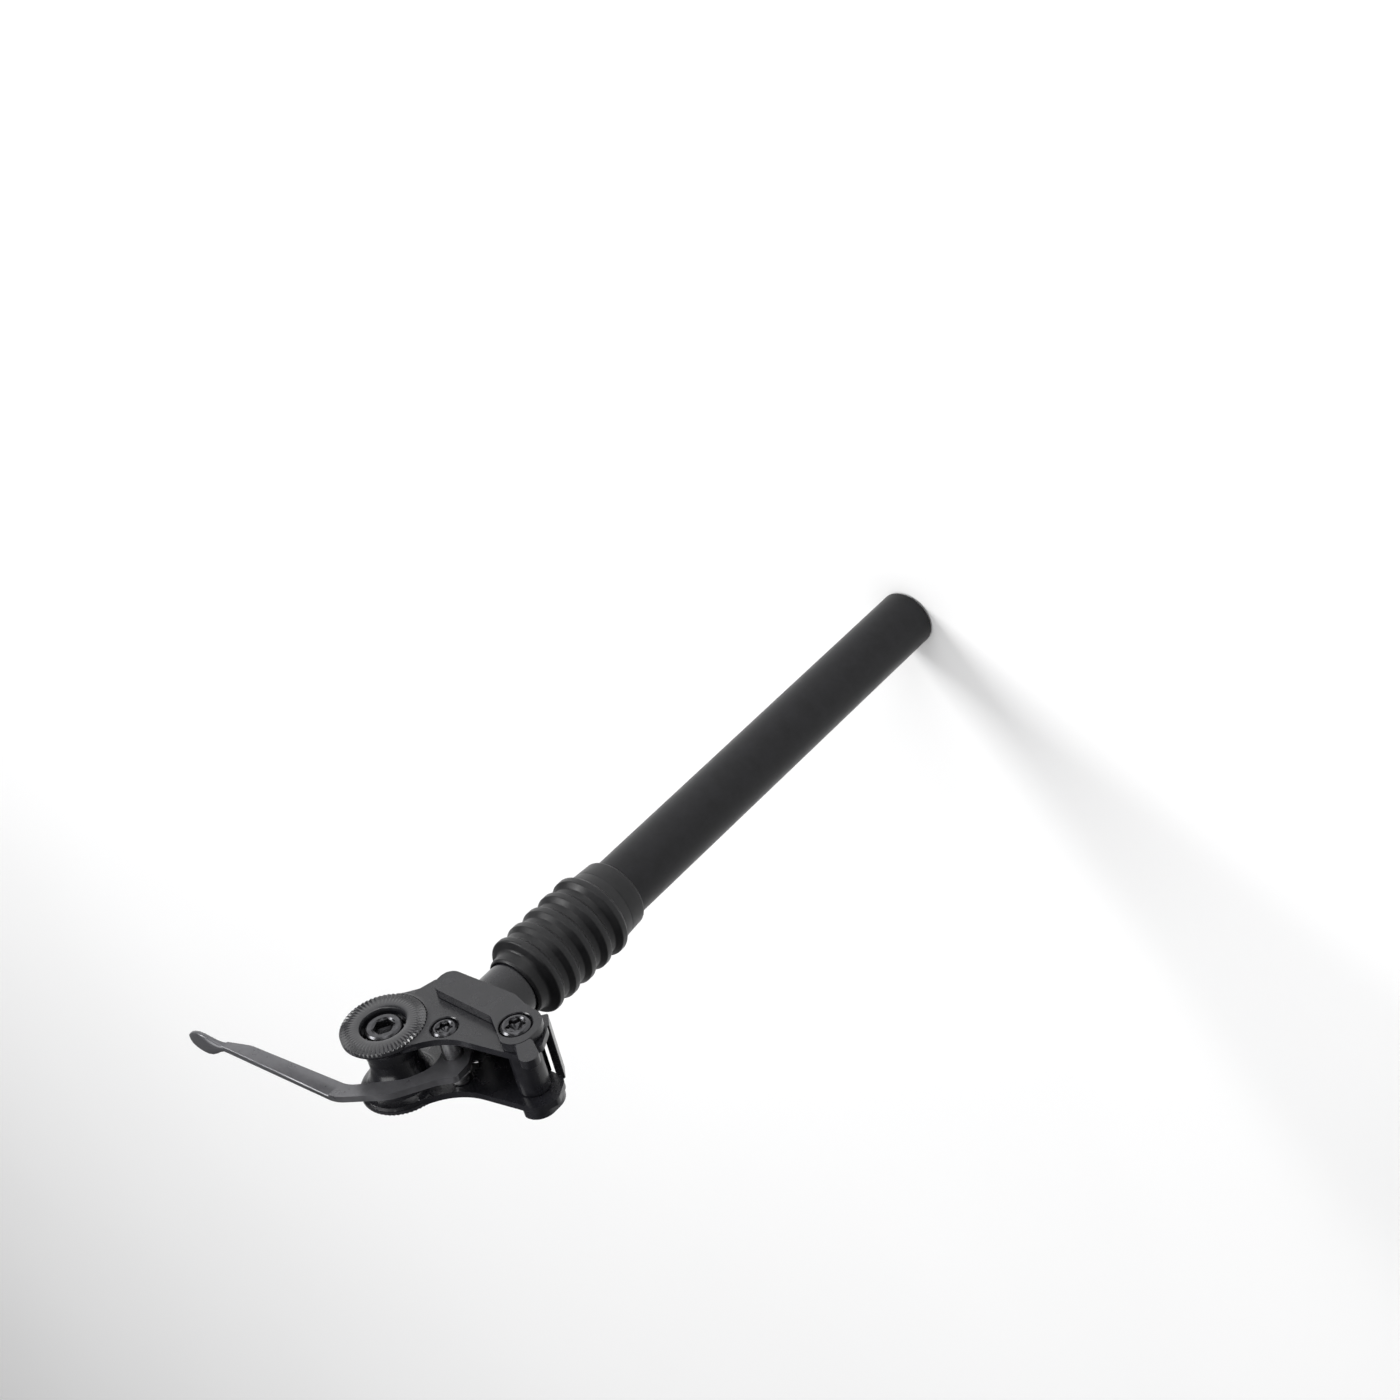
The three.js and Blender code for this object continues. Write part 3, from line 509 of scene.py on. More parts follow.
def cut(piece, *tools):
    return worked(piece, "DIFFERENCE", tools)


def kept_inside(piece, tool):
    return worked(piece, "INTERSECT", [tool])


# %% Finish a piece
SHARP = radians(32)  # a bend above this stays a crisp line


def finish(piece, body, slot, *nodes, paint=None):
    """Shades the piece, gives it its finish and lets it ride in place of its engineering nodes."""
    piece.data.shade_smooth()
    piece.data.set_sharp_from_angle(angle=SHARP)
    weigh = piece.modifiers.new("even_shading", "WEIGHTED_NORMAL")
    weigh.keep_sharp = True
    piece.data.materials.clear()
    piece.data.materials.append(paint or FINISH_OF_SLOT[slot])
    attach(piece, body)
    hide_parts(*nodes)
    print(f"{piece.name}: {len(piece.data.polygons)} faces, on {body}")


# %% Drill a hole and mirror a piece
def hole(name, radius, low, high, place, sides=64, lead=0.0):
    """A drill for a hole across the post, with a countersink of a given width at its high end."""
    corners = [(0, low, 0), (radius, low, 0), (radius, high, 0), (0, high, 0)]
    if lead:
        corners[2:3] = [(radius, high - lead, 0), (radius + 2 * lead, high + lead, 0)]
        corners[-1] = (0, high + lead, 0)
    return turned(name, corners, place, sides)


def near_side(piece):
    """The same piece on the other side of the post's middle plane."""
    piece.data.transform(Matrix.Scale(-1, 4, (0, 1, 0)))
    piece.data.flip_normals()
    return piece


# %% [markdown]
# ## The post tube
# The tube is drawn aluminium with a chamfer that eases it into the frame. It is one turned
# profile. Its mouth is hidden by the boot, but it is open, because the spring lives inside it.

# %% Turn the tube
tube_low, tube_high = span("post_tube")
TUBE_R = tube_high.x
TUBE_WALL = 2.2
CHAMFER = 0.8

post_tube = turned("post_tube_shell", [
    (TUBE_R - TUBE_WALL, tube_low.z, 0.3), (TUBE_R - CHAMFER, tube_low.z, 0.3),
    (TUBE_R, tube_low.z + CHAMFER, 0.5), (TUBE_R, tube_high.z, 0.3),
    (TUBE_R - TUBE_WALL, tube_high.z, 0.3),
], sides=160)
finish(post_tube, "post", "tube_paint", "post_tube")

# %% [markdown]
# ## The boot
# The boot is a bellows: thin rubber that folds at its ribs when the post sinks. The collar grips
# the nut on the tube, five ribs follow, and a narrow cuff grips the neck. A bellows is a turned
# shape too, so its wall is drawn as one closed profile, out over the ribs and back inside.

# %% Draw the boot's wall
boot_low, boot_high = span("boot")
WALL = 1.3
BOOT_GAP = 0.3
COLLAR_R = 16.3
CUFF_R = 13.6
CUFF_HEIGHT = 5.5
VALLEY_R = 16.3
CREST_R = (boot_high.x, boot_high.x - 0.9)  # the first rib's and the last rib's
RIBS = 5
RIB_PITCH = 9.9
FIRST_RIB = boot_low.z + 18


def boot_profile():
    mouth = TUBE_R + BOOT_GAP
    outside = [(mouth, boot_low.z, 0.4), (COLLAR_R - 0.5, boot_low.z + 1.7, 1.2),
               (COLLAR_R, boot_low.z + 9.5, 2), (COLLAR_R - 0.8, boot_low.z + 13, 1.2)]
    inside = [(mouth, boot_low.z + 3, 0.3), (COLLAR_R - WALL, boot_low.z + 3, 0.3)]
    for rib in range(RIBS):
        height = FIRST_RIB + rib * RIB_PITCH
        share = rib / (RIBS - 1)
        crest = CREST_R[0] * (1 - share) + CREST_R[1] * share
        outside += [(crest, height - 1.5, 1.1), (crest, height + 1.3, 1.1)]
        inside.append((crest - WALL, height, 0.9))
        if rib < RIBS - 1:
            outside += [(VALLEY_R + 0.5, height + 3.6, 1.5), (VALLEY_R, height + 6.4, 1.0)]
            inside.append((VALLEY_R - WALL, height + RIB_PITCH / 2, 0.9))
    cuff_bottom = boot_high.z - CUFF_HEIGHT
    outside += [(CUFF_R + 0.5, cuff_bottom - 0.3, 1.8), (CUFF_R, boot_high.z - 1, 0.8),
                (CUFF_R - 0.7, boot_high.z, 0.4)]
    inside += [(CUFF_R - WALL, cuff_bottom, 0.8), (CUFF_R - WALL, boot_high.z, 0.3)]
    return outside + inside[::-1]


# %% Turn the boot
boot = turned("ribbed_boot", boot_profile(), sides=192, steps=6)
finish(boot, "post", "boot_rubber", "boot")
boot.modifiers.clear()
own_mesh(boot)
print("boot is", round(boot_high.z - boot_low.z, 1), "mm long and",
      round(2 * boot_high.x, 1), "mm across")

# %% [markdown]
# ## The hinge bracket
# The bracket is a casting. A round neck takes the sliding tube, a flat base sits on it, and two
# cheeks stand up outside the arms to carry the pivot. The near cheek has a finger that points
# forward. The parts are shaped one by one and joined into a single skin, as the casting is.
# Then the bore, the pivot's hole and the recesses for the bolt's head and nut are cut.

# %% Measure the bracket
bracket_low, bracket_high = span("hinge_bracket")
CHEEK_OUTER = bracket_high.y
CHEEK_INNER = CHEEK_OUTER - 4.1
CHEEK_RIM = 1.4
FINGER_RIM = 1.75
NECK_R = 12
BASE_Z = 298.2
BASE_TOP = 301.6
BASE_FRONT, BASE_REAR = -31, 4
BOSS_R = 10.2
TIP_R = 5.2
HEAD_R = 6.3  # the pivot bolt's head
HEAD_DEPTH = 2.8
GAP = 0.3  # between pieces that are bolted or pressed together
BOLT_HOLE_R = 4 + GAP  # for the pivot bolt and the clamp bolt
STANCHION_HOLE = (10 + GAP, 293.5)  # its radius, and the height where it ends
print("bracket is", round(2 * CHEEK_OUTER, 1), "mm wide over its cheeks")


# %% Draw the cheek and the finger
def cheek_outline():
    rear, top = CATCH.x + TIP_R, CATCH.z + TIP_R
    front = PIVOT.x - BOSS_R
    return rounded([
        (rear, BASE_Z, TIP_R), (rear, top, TIP_R), (PIVOT.x + 12.5, top + 2.4, 6),
        (PIVOT.x - 1.5, PIVOT.z + BOSS_R, 4), (front, PIVOT.z + BOSS_R - 0.8, 7.5),
        (front, PIVOT.z - BOSS_R, BOSS_R * 0.9), (PIVOT.x + 2, PIVOT.z - BOSS_R, 4),
        (PIVOT.x + 12, BASE_Z, 4),
    ], steps=10)


def finger_outline(lean=radians(147), start=8, reach=23, half=4):
    along = Vector((cos(lean), sin(lean)))
    aside = Vector((-sin(lean), cos(lean)))
    centre = Vector((PIVOT.x, PIVOT.z))
    tip = half * 0.9
    spots = [(start, half, 0), (start, -half, 0), (reach, -half, tip), (reach, half, tip)]
    return rounded([(*(centre + along * out + aside * side), radius)
                    for out, side, radius in spots], steps=10)


def cheek(name, low, high):
    return slab(name, cheek_outline(), low, high, CHEEK_RIM, 6, FLAT_RIM)


# %% Join the bracket and cut its holes
def make_bracket():
    bracket = turned("cast_hinge_bracket", [
        (0, bracket_low.z, 0), (NECK_R, bracket_low.z, 0.5), (NECK_R, BASE_Z - 2.2, 2),
        (NECK_R + 3.5, BASE_Z + 1.3, 0), (0, BASE_Z + 1.3, 0),
    ], sides=128)
    base = slab("base", rounded([
        (BASE_FRONT, BASE_Z + 0.15, 0.5), (BASE_REAR, BASE_Z + 0.15, 0.5), (BASE_REAR, BASE_TOP, 1),
        (BASE_FRONT, BASE_TOP, 1),
    ]), -CHEEK_INNER - 1, CHEEK_INNER + 1)
    finger = slab("finger", finger_outline(), -CHEEK_OUTER + 0.15, -CHEEK_INNER - 0.1,
                  FINGER_RIM, 6)
    joined(bracket, base, cheek("left", -CHEEK_OUTER, -CHEEK_INNER),
           cheek("right", CHEEK_INNER, CHEEK_OUTER), finger)
    radius, end = STANCHION_HOLE
    bore = turned("bore", [
        (0, bracket_low.z - 1, 0), (radius, bracket_low.z - 1, 0), (radius, end, 0), (0, end, 0),
    ])
    floor = CHEEK_OUTER - HEAD_DEPTH - GAP
    recesses = [hole(f"recess_{side}", HEAD_R + 0.6, floor, CHEEK_OUTER, PIVOT, 96, lead=0.35)
                for side in ("right", "left")]
    near_side(recesses[1])
    return cut(bracket, bore,
               hole("pivot_hole", BOLT_HOLE_R, -CHEEK_OUTER - 1, CHEEK_OUTER + 1, PIVOT), *recesses)


finish(make_bracket(), "slider", "head_paint", "hinge_bracket")

# %% [markdown]
# ## The stop plate
# A sloping plate closes the front of the bracket, and the heels of the arms meet it at the end of
# the tilt. It is flat stock with eased edges, so one rounded outline gives all of it.

# %% Cut the stop plate
STOP_THICKNESS = 3.2
STOP_REACH = (-2.625, 4.875)  # how far the plate goes down and up its slope
STOP_RIM = 0.4


def stop_outline():
    start = Vector((BASE_FRONT - GAP, BASE_Z - STOP_THICKNESS / 2))
    up, through = Vector((-1, 1)).normalized(), Vector((1, 1)).normalized()
    low, high = STOP_REACH
    spots = [(low, -STOP_THICKNESS), (low, 0), (high, 0), (high, -STOP_THICKNESS)]
    return rounded([(*(start + up * along + through * depth), 0.5) for along, depth in spots])


stop_low, stop_high = span("stop_plate")
stop = slab("sloping_stop_plate", stop_outline(), stop_low.y, stop_high.y, STOP_RIM, 3)
finish(stop, "slider", "head_paint", "stop_plate")

# %% [markdown]
# ## The saddle yoke
# The yoke is the tilting part: two thin arms and a cross tube that flares like a trumpet to each
# disc. Each arm is a plate with rounded rims, and a soft fillet climbs from the arm to the rim
# of its disc. The holes come last: the seats of the discs, the deep counterbores, the pivot's
# holes, the countersinks of the axle and the notch that drops over the catch pin.

# %% Measure the yoke
bush_low, bush_high = span("pivot_bush_right")
arm_low, arm_high = bush_low.y, bush_high.y
disc_low, disc_high = span("serrated_disc_right")
ARM_RIM = 0.8
DISC_R = disc_high.z - CLAMP.z
DISC_SEAT = disc_low.y - GAP
BORE_R = 9.5
BORE_FLOOR = disc_high.y - 8.6
NOTCH_R = 3.1
AXLE_HEAD_R = 5.3
AXLE_HEAD_DEPTH = 1.6
AXLE_HOLE_R = 2.5 + GAP
BUSH_HOLE_R = 5.58
print("arms are", round(arm_high - arm_low, 1), "mm thick, discs", round(2 * DISC_R, 1), "mm across")


# %% Draw an arm and its notch
def arm_outline():
    bottom = BASE_TOP + 0.6
    return rounded([
        (CLAMP.x - 1, bottom, 1.5), (CLAMP.x + 1.5, bottom + 7.5, 3),
        (CLAMP.x + DISC_R * 0.63, CLAMP.z - DISC_R * 0.76, 0), (CLAMP.x - 1.3, CLAMP.z + 0.7, 0),
        (CLAMP.x - DISC_R * 0.92, CLAMP.z + DISC_R * 0.39, 0), (AXLE.x - 2.2, AXLE.z + 4.2, 28),
        (PIVOT.x - 9.5, PIVOT.z + 9.7, 6), (PIVOT.x - 13.3, PIVOT.z + 0.9, 3),
        (PIVOT.x - 8, bottom, 6),
    ], steps=14)


def swing(height, offset):
    """A point at a height on the catch pin's arc about the pivot, moved out by an offset."""
    reach = hypot(CATCH.x - PIVOT.x, CATCH.z - PIVOT.z) + offset
    return PIVOT.x + sqrt(reach**2 - (height - PIVOT.z) ** 2), height


def notch_tool():
    heights = [BASE_TOP - 1, (BASE_TOP + CATCH.z) / 2, CATCH.z]
    outer = [swing(height, NOTCH_R) for height in heights]
    inner = [swing(height, -NOTCH_R) for height in reversed(heights)]
    return slab("notch", outer + inner, -arm_high - 1, arm_high + 1)


# %% Turn the cross tube and the fillets
def cross_tube():
    """Half of the profile, then the same half turned over."""
    half = [(10.5, 2.3, 9), (12, 9.1, 6), (14.4, 11.6, 2), (16.9, 13.1, 0.8), (DISC_R, DISC_SEAT, 0)]
    mirrored = [(r, -y, radius) for r, y, radius in half]
    end = DISC_SEAT + 0.4  # a little long, so that the disc's seat is cut into it
    corners = [(0, -end, 0), (DISC_R, -end, 0), *reversed(mirrored),
               *half, (DISC_R, end, 0), (0, end, 0)]
    return turned("cross_tube", corners, CLAMP, sides=128, steps=8)


FILLET_REACH = 3.1
FILLET_STEPS = 8


def disc_fillet(name):
    """The soft step from an arm up to the rim of its disc, only where there is arm under it."""
    rim, toe, root = arm_high + 0.75, arm_high - 0.07, arm_high - 0.4
    start = DISC_R + 0.2
    points = [(DISC_R - 1, root), (start + FILLET_REACH, root)]
    for k in range(FILLET_STEPS + 1):
        turn = pi / 2 * k / FILLET_STEPS
        points.append((start + FILLET_REACH * (1 - sin(turn)), toe + (rim - toe) * (1 - cos(turn))))
    points.append((DISC_R - 1, rim))
    mesh = bmesh.new()
    revolve(mesh, points, 128)
    fillet = piece_from(name, mesh, CLAMP)
    centre = Vector((CLAMP.x, CLAMP.z))
    area = [centre + (point - centre) * 0.98 for point in arm_outline()]
    return kept_inside(fillet, slab("arm_area", area, arm_low + 0.5, arm_high + 0.9, ARM_RIM, 4))


# %% Join the yoke and cut its holes
def side_tools(far):
    """What is cut into one side: the disc's seat, the deep counterbore and the countersink."""
    sink = arm_high - AXLE_HEAD_DEPTH - GAP
    return [
        hole("disc_seat", DISC_R + GAP, DISC_SEAT, far, CLAMP, 128),
        hole("counterbore", BORE_R, BORE_FLOOR, far, CLAMP, 96),
        hole("countersink", AXLE_HEAD_R + 0.5, sink, arm_high, AXLE, 64, lead=0.4),
    ]


def make_yoke():
    yoke = slab("forged_saddle_yoke", arm_outline(), -arm_high, -arm_low, ARM_RIM, 5)
    joined(yoke, slab("right_arm", arm_outline(), arm_low, arm_high, ARM_RIM, 5), cross_tube(),
           disc_fillet("fillet_right"), near_side(disc_fillet("fillet_left")))
    far = arm_high + 4
    tools = [
        hole("bolt_hole", BOLT_HOLE_R, -far, far, CLAMP),
        hole("bush_hole", BUSH_HOLE_R, -far, far, PIVOT),
        hole("pin_hole", NOTCH_R, -far, far, CATCH),
        notch_tool(),
        hole("axle_hole", AXLE_HOLE_R, -far, far, AXLE),
    ]
    return cut(yoke, *tools, *side_tools(far), *map(near_side, side_tools(far)))


finish(make_yoke(), "yoke", "head_paint", "saddle_yoke")

# %% [markdown]
# ## The serrated discs
# The saddle's clamps bite into a ring of sixty radial teeth on each side, which holds the angle
# of the saddle. Each tooth is a shallow V that fades out towards the middle. A boolean for each
# tooth would be slow, so the disc is turned as rings of points first, and then the points of
# the toothed face are pushed in by a wave that runs round the disc.

# %% Shape a disc with its teeth
TEETH = 60
POINTS_PER_TOOTH = 8
TOOTH_DEPTH = 0.7
TOOTH_RINGS = 5  # rings of points between the land and the disc's edge
LAND_R = 12.3  # the flat middle ends here and the teeth begin


def tooth(turns):
    """How deep the wave is at a share of a turn: a V with a narrow flat crest."""
    share = abs((turns * TEETH) % 1 - 0.5) * 2
    return max(0.0, min(1.0, (1 - share) * 1.15 - 0.08))


def serrated_disc(name, side):
    face, back = disc_high.y, disc_low.y
    rings = [(BORE_R, back), (BORE_R, face - 0.9), (BORE_R + 0.25, face - 0.35),
             (BORE_R + 0.9, face), (LAND_R, face)]
    band = DISC_R - 0.5 - LAND_R
    rings += [(LAND_R + band * k / TOOTH_RINGS, face) for k in range(1, TOOTH_RINGS + 1)]
    rings += [(DISC_R - 0.2, face - 0.15), (DISC_R, face - 0.5), (DISC_R, back)]
    mesh = bmesh.new()
    revolve(mesh, rings, TEETH * POINTS_PER_TOOTH)
    for vertex in mesh.verts:
        radius = hypot(vertex.co.x, vertex.co.y)
        fade = min(1.0, max(0.0, (radius - LAND_R) / (DISC_R - LAND_R)))
        if vertex.co.z > back + 0.5 and fade > 0:
            wave = tooth(atan2(vertex.co.y, vertex.co.x) / (2 * pi))
            vertex.co.z = min(vertex.co.z, face - TOOTH_DEPTH * wave * fade)
    disc = piece_from(name, mesh, CLAMP)
    if side == "left":
        near_side(disc)
    finish(disc, "yoke", "head_paint", f"serrated_disc_{side}", paint=DISC_PAINT_WITH_PAINTED_GLARE)


serrated_disc("toothed_disc_left", "left")
serrated_disc("toothed_disc_right", "right")

# %% [markdown]
# ## Bolts
# Each bolt has a head with eased edges and a driver socket. The pivot bolt and the axle have a
# six-lobed socket, and the clamp bolt has a deep hexagon. The socket is cut with a short prism
# that ends in a drill point, because a real socket is drilled before it is broached.


# %% Cut sockets
DRILL_POINT = 0.35  # the point's depth as a share of the socket's radius


def lobed(radius, swell=0.15, points=72):
    """A six-lobed socket's outline."""
    turns = [2 * pi * k / points for k in range(points)]
    return [Vector((cos(t), sin(t))) * radius * (1 + swell * cos(6 * t)) for t in turns]


def hexagonal(flats):
    return [Vector((cos(pi / 3 * k), sin(pi / 3 * k))) * flats / sqrt(3) for k in range(6)]


def socket_tool(outline, mouth, floor, place, twist=0.0):
    """A prism across the post, in from the mouth, with a drill point past its floor."""
    mesh = bmesh.new()
    rings = []
    for height in (mouth, floor):
        rings.append([mesh.verts.new((p.x, p.y, height)) for p in outline])
    tip = mesh.verts.new((0, 0, floor + outline[0].length * DRILL_POINT))
    mesh.faces.new(rings[0])
    for i in range(len(outline)):
        mesh.faces.new((rings[0][i - 1], rings[0][i], rings[1][i], rings[1][i - 1]))
        mesh.faces.new((rings[1][i - 1], rings[1][i], tip))
    mesh.transform(Matrix.Rotation(twist, 4, "Z"))
    return piece_from("socket", mesh, place)


# %% Turn a bolt and cut its socket
DISH = 0.4  # how wide and deep the socket's mouth is eased


def bolt(name, head, shank_r, shank_end, outline, depth, place, twist=0.0):
    """A bolt whose head faces -Y. head is its radius, its face and its back."""
    head_r, face, back = head
    solid = turned(name, [
        (0, face, 0), (head_r - 1.0, face, 0.3), (head_r, face + 0.9, 0.7), (head_r, back, 0.25),
        (shank_r, back, 0.3), (shank_r, shank_end - 0.6, 0.2), (shank_r - 0.6, shank_end, 0),
        (0, shank_end, 0),
    ], place, sides=96, steps=5)
    mouth_r = max(p.length for p in outline)
    countersink = turned("lead", [
        (0, face - 0.5, 0), (mouth_r + DISH + 0.5, face - 0.5, 0),
        (mouth_r - 0.2, face + DISH + 0.2, 0), (0, face + DISH + 0.2, 0),
    ], place, sides=64)
    return cut(solid, countersink, socket_tool(outline, face - 1, face + depth, place, twist))


# %% [markdown]
# ### The pivot bolt, the clamp bolt and the axle
# All three run right through the head. The pivot bolt's head sits in the cheek's recess, the
# clamp bolt's is deep in the disc's bore, and the axle's head is sunk in the arm.

# %% Make the bolts
pivot_low, pivot_high = span("pivot_bolt")
clamp_low, clamp_high = span("clamp_bolt")
axle_low, axle_high = span("latch_axle")
CLAMP_HEAD_R = clamp_high.z - CLAMP.z
PIVOT_HEAD_BACK = pivot_low.y + 3.1
CLAMP_HEAD_BACK = clamp_low.y + 5.4
AXLE_HEAD_BACK = -arm_high + AXLE_HEAD_DEPTH

finish(bolt("pivot_bolt_lobed", (HEAD_R, pivot_low.y, PIVOT_HEAD_BACK), 4, pivot_high.y,
            lobed(3.5), 2.4, PIVOT, twist=radians(12)), "slider", "black_steel", "pivot_bolt")
finish(bolt("clamp_bolt_socket", (CLAMP_HEAD_R, clamp_low.y, CLAMP_HEAD_BACK), 4, clamp_high.y,
            hexagonal(8), 4.2, CLAMP, twist=radians(8)), "yoke", "black_steel", "clamp_bolt")
finish(bolt("latch_axle_lobed", (AXLE_HEAD_R, axle_low.y, AXLE_HEAD_BACK), 2.5, axle_high.y,
            lobed(2.9), 1.9, AXLE, twist=radians(20)), "yoke", "black_steel", "latch_axle")


# %% [markdown]
# ### Nuts, washers, sleeve and spacer
# The far ends of the bolts have nuts. The clamp's is a plain hexagon with chamfered corners,
# and the other two are round with a slotted face. The washers, the pivot's sleeve and the
# axle's spacer are simple turned rings.


# %% Helpers for rings and nuts
def ring(name, inner, outer, low, high, place, ease=0.25):
    return turned(name, [
        (inner, low, ease), (outer, low, ease), (outer, high, ease), (inner, high, ease),
    ], place, sides=96)


CLAMP_NUT_FLATS = 13
NUT_CHAMFER = 0.8
SLOT_HALF, SLOT_DEPTH = 0.8, 0.8


def hex_nut(name, node, bore, flats, place):
    low, high = span(node)
    prism = slab(name, [(place.x + p.x, place.z + p.y) for p in hexagonal(flats)], low.y, high.y)
    corner = flats / sqrt(3)
    kept_inside(prism, turned("chamfers", [
        (0, low.y, 0), (corner - 1, low.y, 0), (corner + 0.4, low.y + NUT_CHAMFER, 0),
        (corner + 0.4, high.y - NUT_CHAMFER, 0), (corner - 1, high.y, 0), (0, high.y, 0),
    ], place))
    return cut(prism, hole("nut_bore", bore, low.y - 1, high.y + 1, place))


def round_nut(name, node, bore, place):
    low, high = span(node)
    outer = high.z - place.z
    nut = ring(name, bore, outer, low.y, high.y, place, 0.4)
    left, right = place.x - outer - 1, place.x + outer + 1
    under, over = place.z - SLOT_HALF, place.z + SLOT_HALF
    slot = [(left, under), (right, under), (right, over), (left, over)]
    return cut(nut, slab("slot", slot, high.y - SLOT_DEPTH, high.y + 1))


# %% Make the nuts
finish(hex_nut("clamp_nut_hex", "clamp_nut", BOLT_HOLE_R, CLAMP_NUT_FLATS, CLAMP),
       "yoke", "black_steel", "clamp_nut")
finish(round_nut("pivot_nut_slotted", "pivot_nut", BOLT_HOLE_R, PIVOT),
       "slider", "black_steel", "pivot_nut")
finish(round_nut("axle_nut_slotted", "latch_axle_nut", AXLE_HOLE_R, AXLE),
       "yoke", "black_steel", "latch_axle_nut")

# %% Make the washers, the sleeve and the spacer
for side in ("left", "right"):
    low, high = span(f"clamp_washer_{side}")
    finish(ring(f"washer_{side}", BOLT_HOLE_R, high.z - CLAMP.z, low.y, high.y, CLAMP),
           "yoke", "bright_steel", f"clamp_washer_{side}")
for name, node, bore, place, slot in [
    ("tilt_sleeve", "pivot_sleeve", BOLT_HOLE_R, PIVOT, "head_paint"),
    ("lever_spacer", "latch_spacer", AXLE_HOLE_R, AXLE, "bright_steel"),
]:
    low, high = span(node)
    finish(ring(name, bore, high.z - place.z, low.y, high.y, place, 0.4), "yoke", slot, node)

# %% [markdown]
# ## The release lever
# The lever is stamped from 3 mm steel. Its hook holds the catch pin, its hub turns on the axle,
# and a band passes beside the cross tube and bends into the handle. The end of the handle is
# twisted a quarter turn and beaten out into an oval pad for the fingers.
# The stamping is one outline with rounded rims. The pad is lofted: oval sections that start
# inside the blade, tall and thin, and end flat and wide.

# %% Cut the stamped part
LEVER_HALF = 1.5
LEVER_RIM = 0.6
LEVER_BORE_R = 4.08  # it turns freely on the spacer
HANDLE_TOP = 363
HANDLE_END = 89
HOOK_FACE = 3.0  # from the catch pin's centre to the hook


def lever_outline():
    hook_top, hook_bottom = CATCH.z + 3.7, CATCH.z - 4.9
    hook_middle = (hook_top + hook_bottom) / 2
    return rounded([
        (HANDLE_END + 2, HANDLE_TOP, 0), (AXLE.x + 27.5, HANDLE_TOP, 14),
        (AXLE.x + 8, AXLE.z + 29.5, 18), (AXLE.x - 4, AXLE.z + 14.6, 8),
        (AXLE.x - 10.5, AXLE.z + 9.5, 3), (AXLE.x - 9.5, AXLE.z + 1, 5),
        (AXLE.x - 3.5, AXLE.z - 7.2, 4), (AXLE.x + 8, hook_top + 1.2, 2),
        (*swing(hook_top, HOOK_FACE), 0.6), (*swing(hook_middle, HOOK_FACE), 0),
        (*swing(hook_bottom, HOOK_FACE), 0),
        (*swing(hook_bottom, HOOK_FACE + 4.2), 2), (*swing(hook_top + 2, HOOK_FACE + 6), 3),
        (AXLE.x + 7, AXLE.z - 3, 5), (AXLE.x + 1.5, AXLE.z + 9, 12), (AXLE.x + 8, AXLE.z + 20, 14),
        (AXLE.x + 27, HANDLE_TOP - 7.8, 12), (HANDLE_END - 12, HANDLE_TOP - 6.24, 20),
        (HANDLE_END, HANDLE_TOP - 3.51, 0),
    ], steps=10)


# %% Loft the finger pad
PAD_SECTIONS = [  # x, width across y, height, middle height
    (80.0, 1.6, 2.6, 360.6), (85.0, 2.6, 3.2, 360.9), (88.5, 3.1, 3.3, 361.5),
    (90.5, 4.3, 3.1, 362.2), (92.5, 6.6, 3.0, 362.9), (95.0, 9.0, 3.0, 363.4),
    (98.0, 10.4, 3.1, 363.6), (101.0, 10.2, 3.1, 363.6), (104.0, 8.6, 3.0, 363.6),
    (106.2, 6.2, 2.6, 363.6), (107.4, 3.9, 1.9, 363.6), (107.9, 1.6, 0.9, 363.6),
]


def oval(width, height, points=40, square=0.62):
    """A softly squared oval about the origin, as (y, z)."""
    shape = []
    for k in range(points):
        c, s = cos(2 * pi * k / points), sin(2 * pi * k / points)
        shape.append((abs(c) ** square * (1 if c > 0 else -1) * width / 2,
                      abs(s) ** square * (1 if s > 0 else -1) * height / 2))
    return shape


def finger_pad():
    mesh = bmesh.new()
    rings = [[mesh.verts.new((x, y, middle_z + z)) for y, z in oval(width, height)]
             for x, width, height, middle_z in PAD_SECTIONS]
    for ring_a, ring_b in zip(rings, rings[1:]):
        for i in range(len(ring_a)):
            mesh.faces.new((ring_a[i - 1], ring_a[i], ring_b[i], ring_b[i - 1]))
    mesh.faces.new(rings[0])
    mesh.faces.new(rings[-1])
    return piece_from("finger_pad", mesh)


# %% Join the lever and bore its hub
def make_lever():
    lever = slab("stamped_release_lever", lever_outline(), -LEVER_HALF, LEVER_HALF, LEVER_RIM, 4)
    joined(lever, finger_pad())
    return cut(lever, hole("axle_bore", LEVER_BORE_R, -2 * LEVER_HALF, 2 * LEVER_HALF, AXLE))


finish(make_lever(), "latch", "lever_paint", "latch_lever")

# %% [markdown]
# ## The lever's return spring
# A torsion spring sits beside the lever on its axle: a straight leg, four close turns and another
# leg. A curve with a round bevel is the natural way to draw wire, because its thickness is one
# number and its path is another.

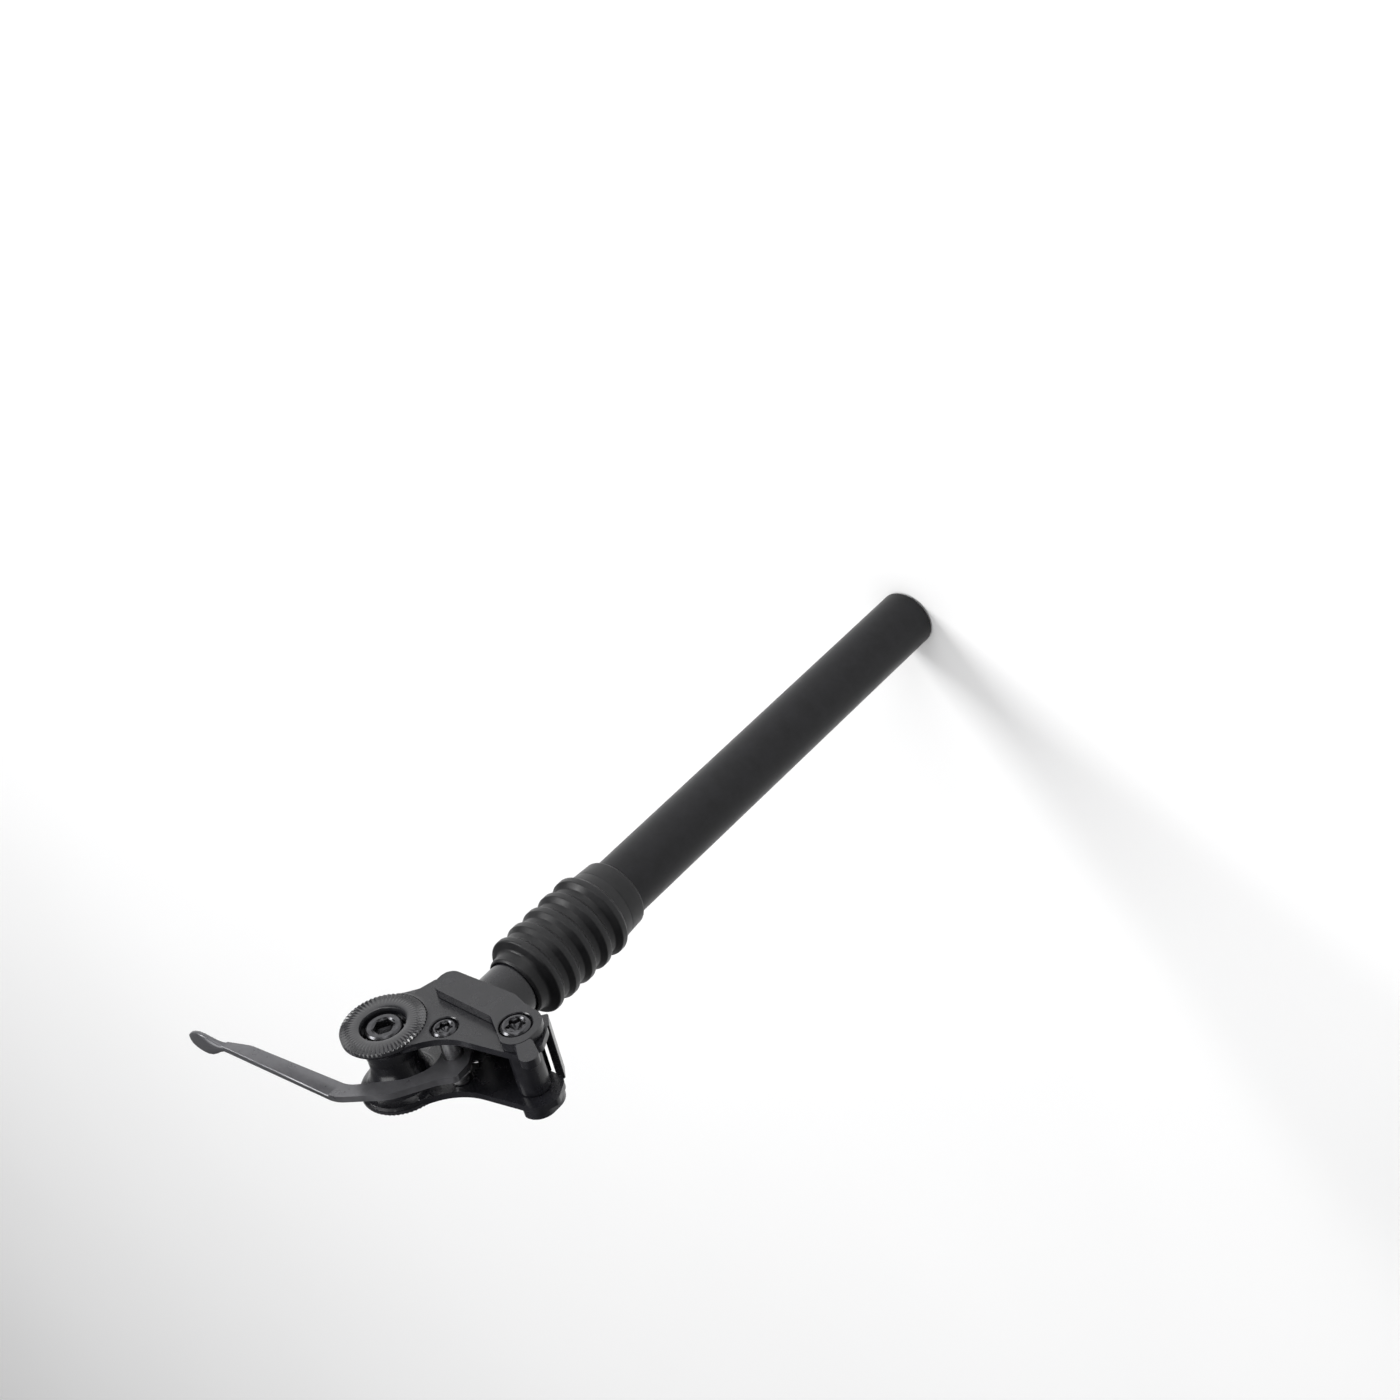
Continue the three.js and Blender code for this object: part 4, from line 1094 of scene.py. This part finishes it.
# %% Draw the wire's path
WIRE = 1.2
TURNS = 4
LEG = 7
COIL_R = 4.9
COIL_PITCH = WIRE + 0.2
COIL_START = 2.4  # how far the coil's first turn is from the lever's middle
FIRST_LEG = radians(60)
SPRING_POINTS = 160


def spring_point(run, arc):
    """A point at a run of wire: on a leg, on the coil, or on the other leg."""
    turned_by = max(0.0, min(arc, run)) / COIL_R
    past = run - turned_by * COIL_R
    rise = COIL_PITCH * turned_by / (2 * pi)
    c, s = cos(turned_by + FIRST_LEG), sin(turned_by + FIRST_LEG)
    x = AXLE.x + COIL_R * c - past * s
    z = AXLE.z - COIL_R * s - past * c
    return Vector((x, COIL_START + rise, z)) * MM


# %% Wind the spring
def wind_spring():
    data = bpy.data.curves.new("latch_return_spring", "CURVE")
    data.dimensions = "3D"
    data.bevel_depth = WIRE / 2 * MM
    data.bevel_resolution = 5
    data.use_fill_caps = True
    arc = 2 * pi * TURNS * COIL_R
    path = data.splines.new("POLY")
    path.points.add(SPRING_POINTS - 1)
    for k, point in enumerate(path.points):
        run = (arc + 2 * LEG) * k / (SPRING_POINTS - 1) - LEG
        point.co = (*spring_point(run, arc), 1)
    spring = bpy.data.objects.new("latch_return_spring", data)
    bpy.context.scene.collection.objects.link(spring)
    data.materials.append(BRIGHT_STEEL)
    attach(spring, "yoke")
    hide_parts("latch_spring")


wind_spring()
print("return spring has", TURNS, "turns of", WIRE, "mm wire")

# %% [markdown]
# ## The parts inside
# The bushes, keys, springs and the adjuster are right as the engineering model has them, and
# they are hidden in the post. They keep their meshes and only get their finishes.

# %% Finish the inner parts
slot_of_node = {entry["node"]: entry["material_slot"] for entry in frame["record"]["subparts"]}
kept = [name for name, node in frame["nodes"].items() if not node.hide_render]
for name in kept:
    node = frame["nodes"][name]
    paint = FINISH_OF_SLOT[slot_of_node[name]]
    if node.material_slots:
        for material_slot in node.material_slots:
            material_slot.material = paint
    else:
        node.data.materials.append(paint)
print(len(kept), "engineering nodes keep their shape:", ", ".join(sorted(kept)))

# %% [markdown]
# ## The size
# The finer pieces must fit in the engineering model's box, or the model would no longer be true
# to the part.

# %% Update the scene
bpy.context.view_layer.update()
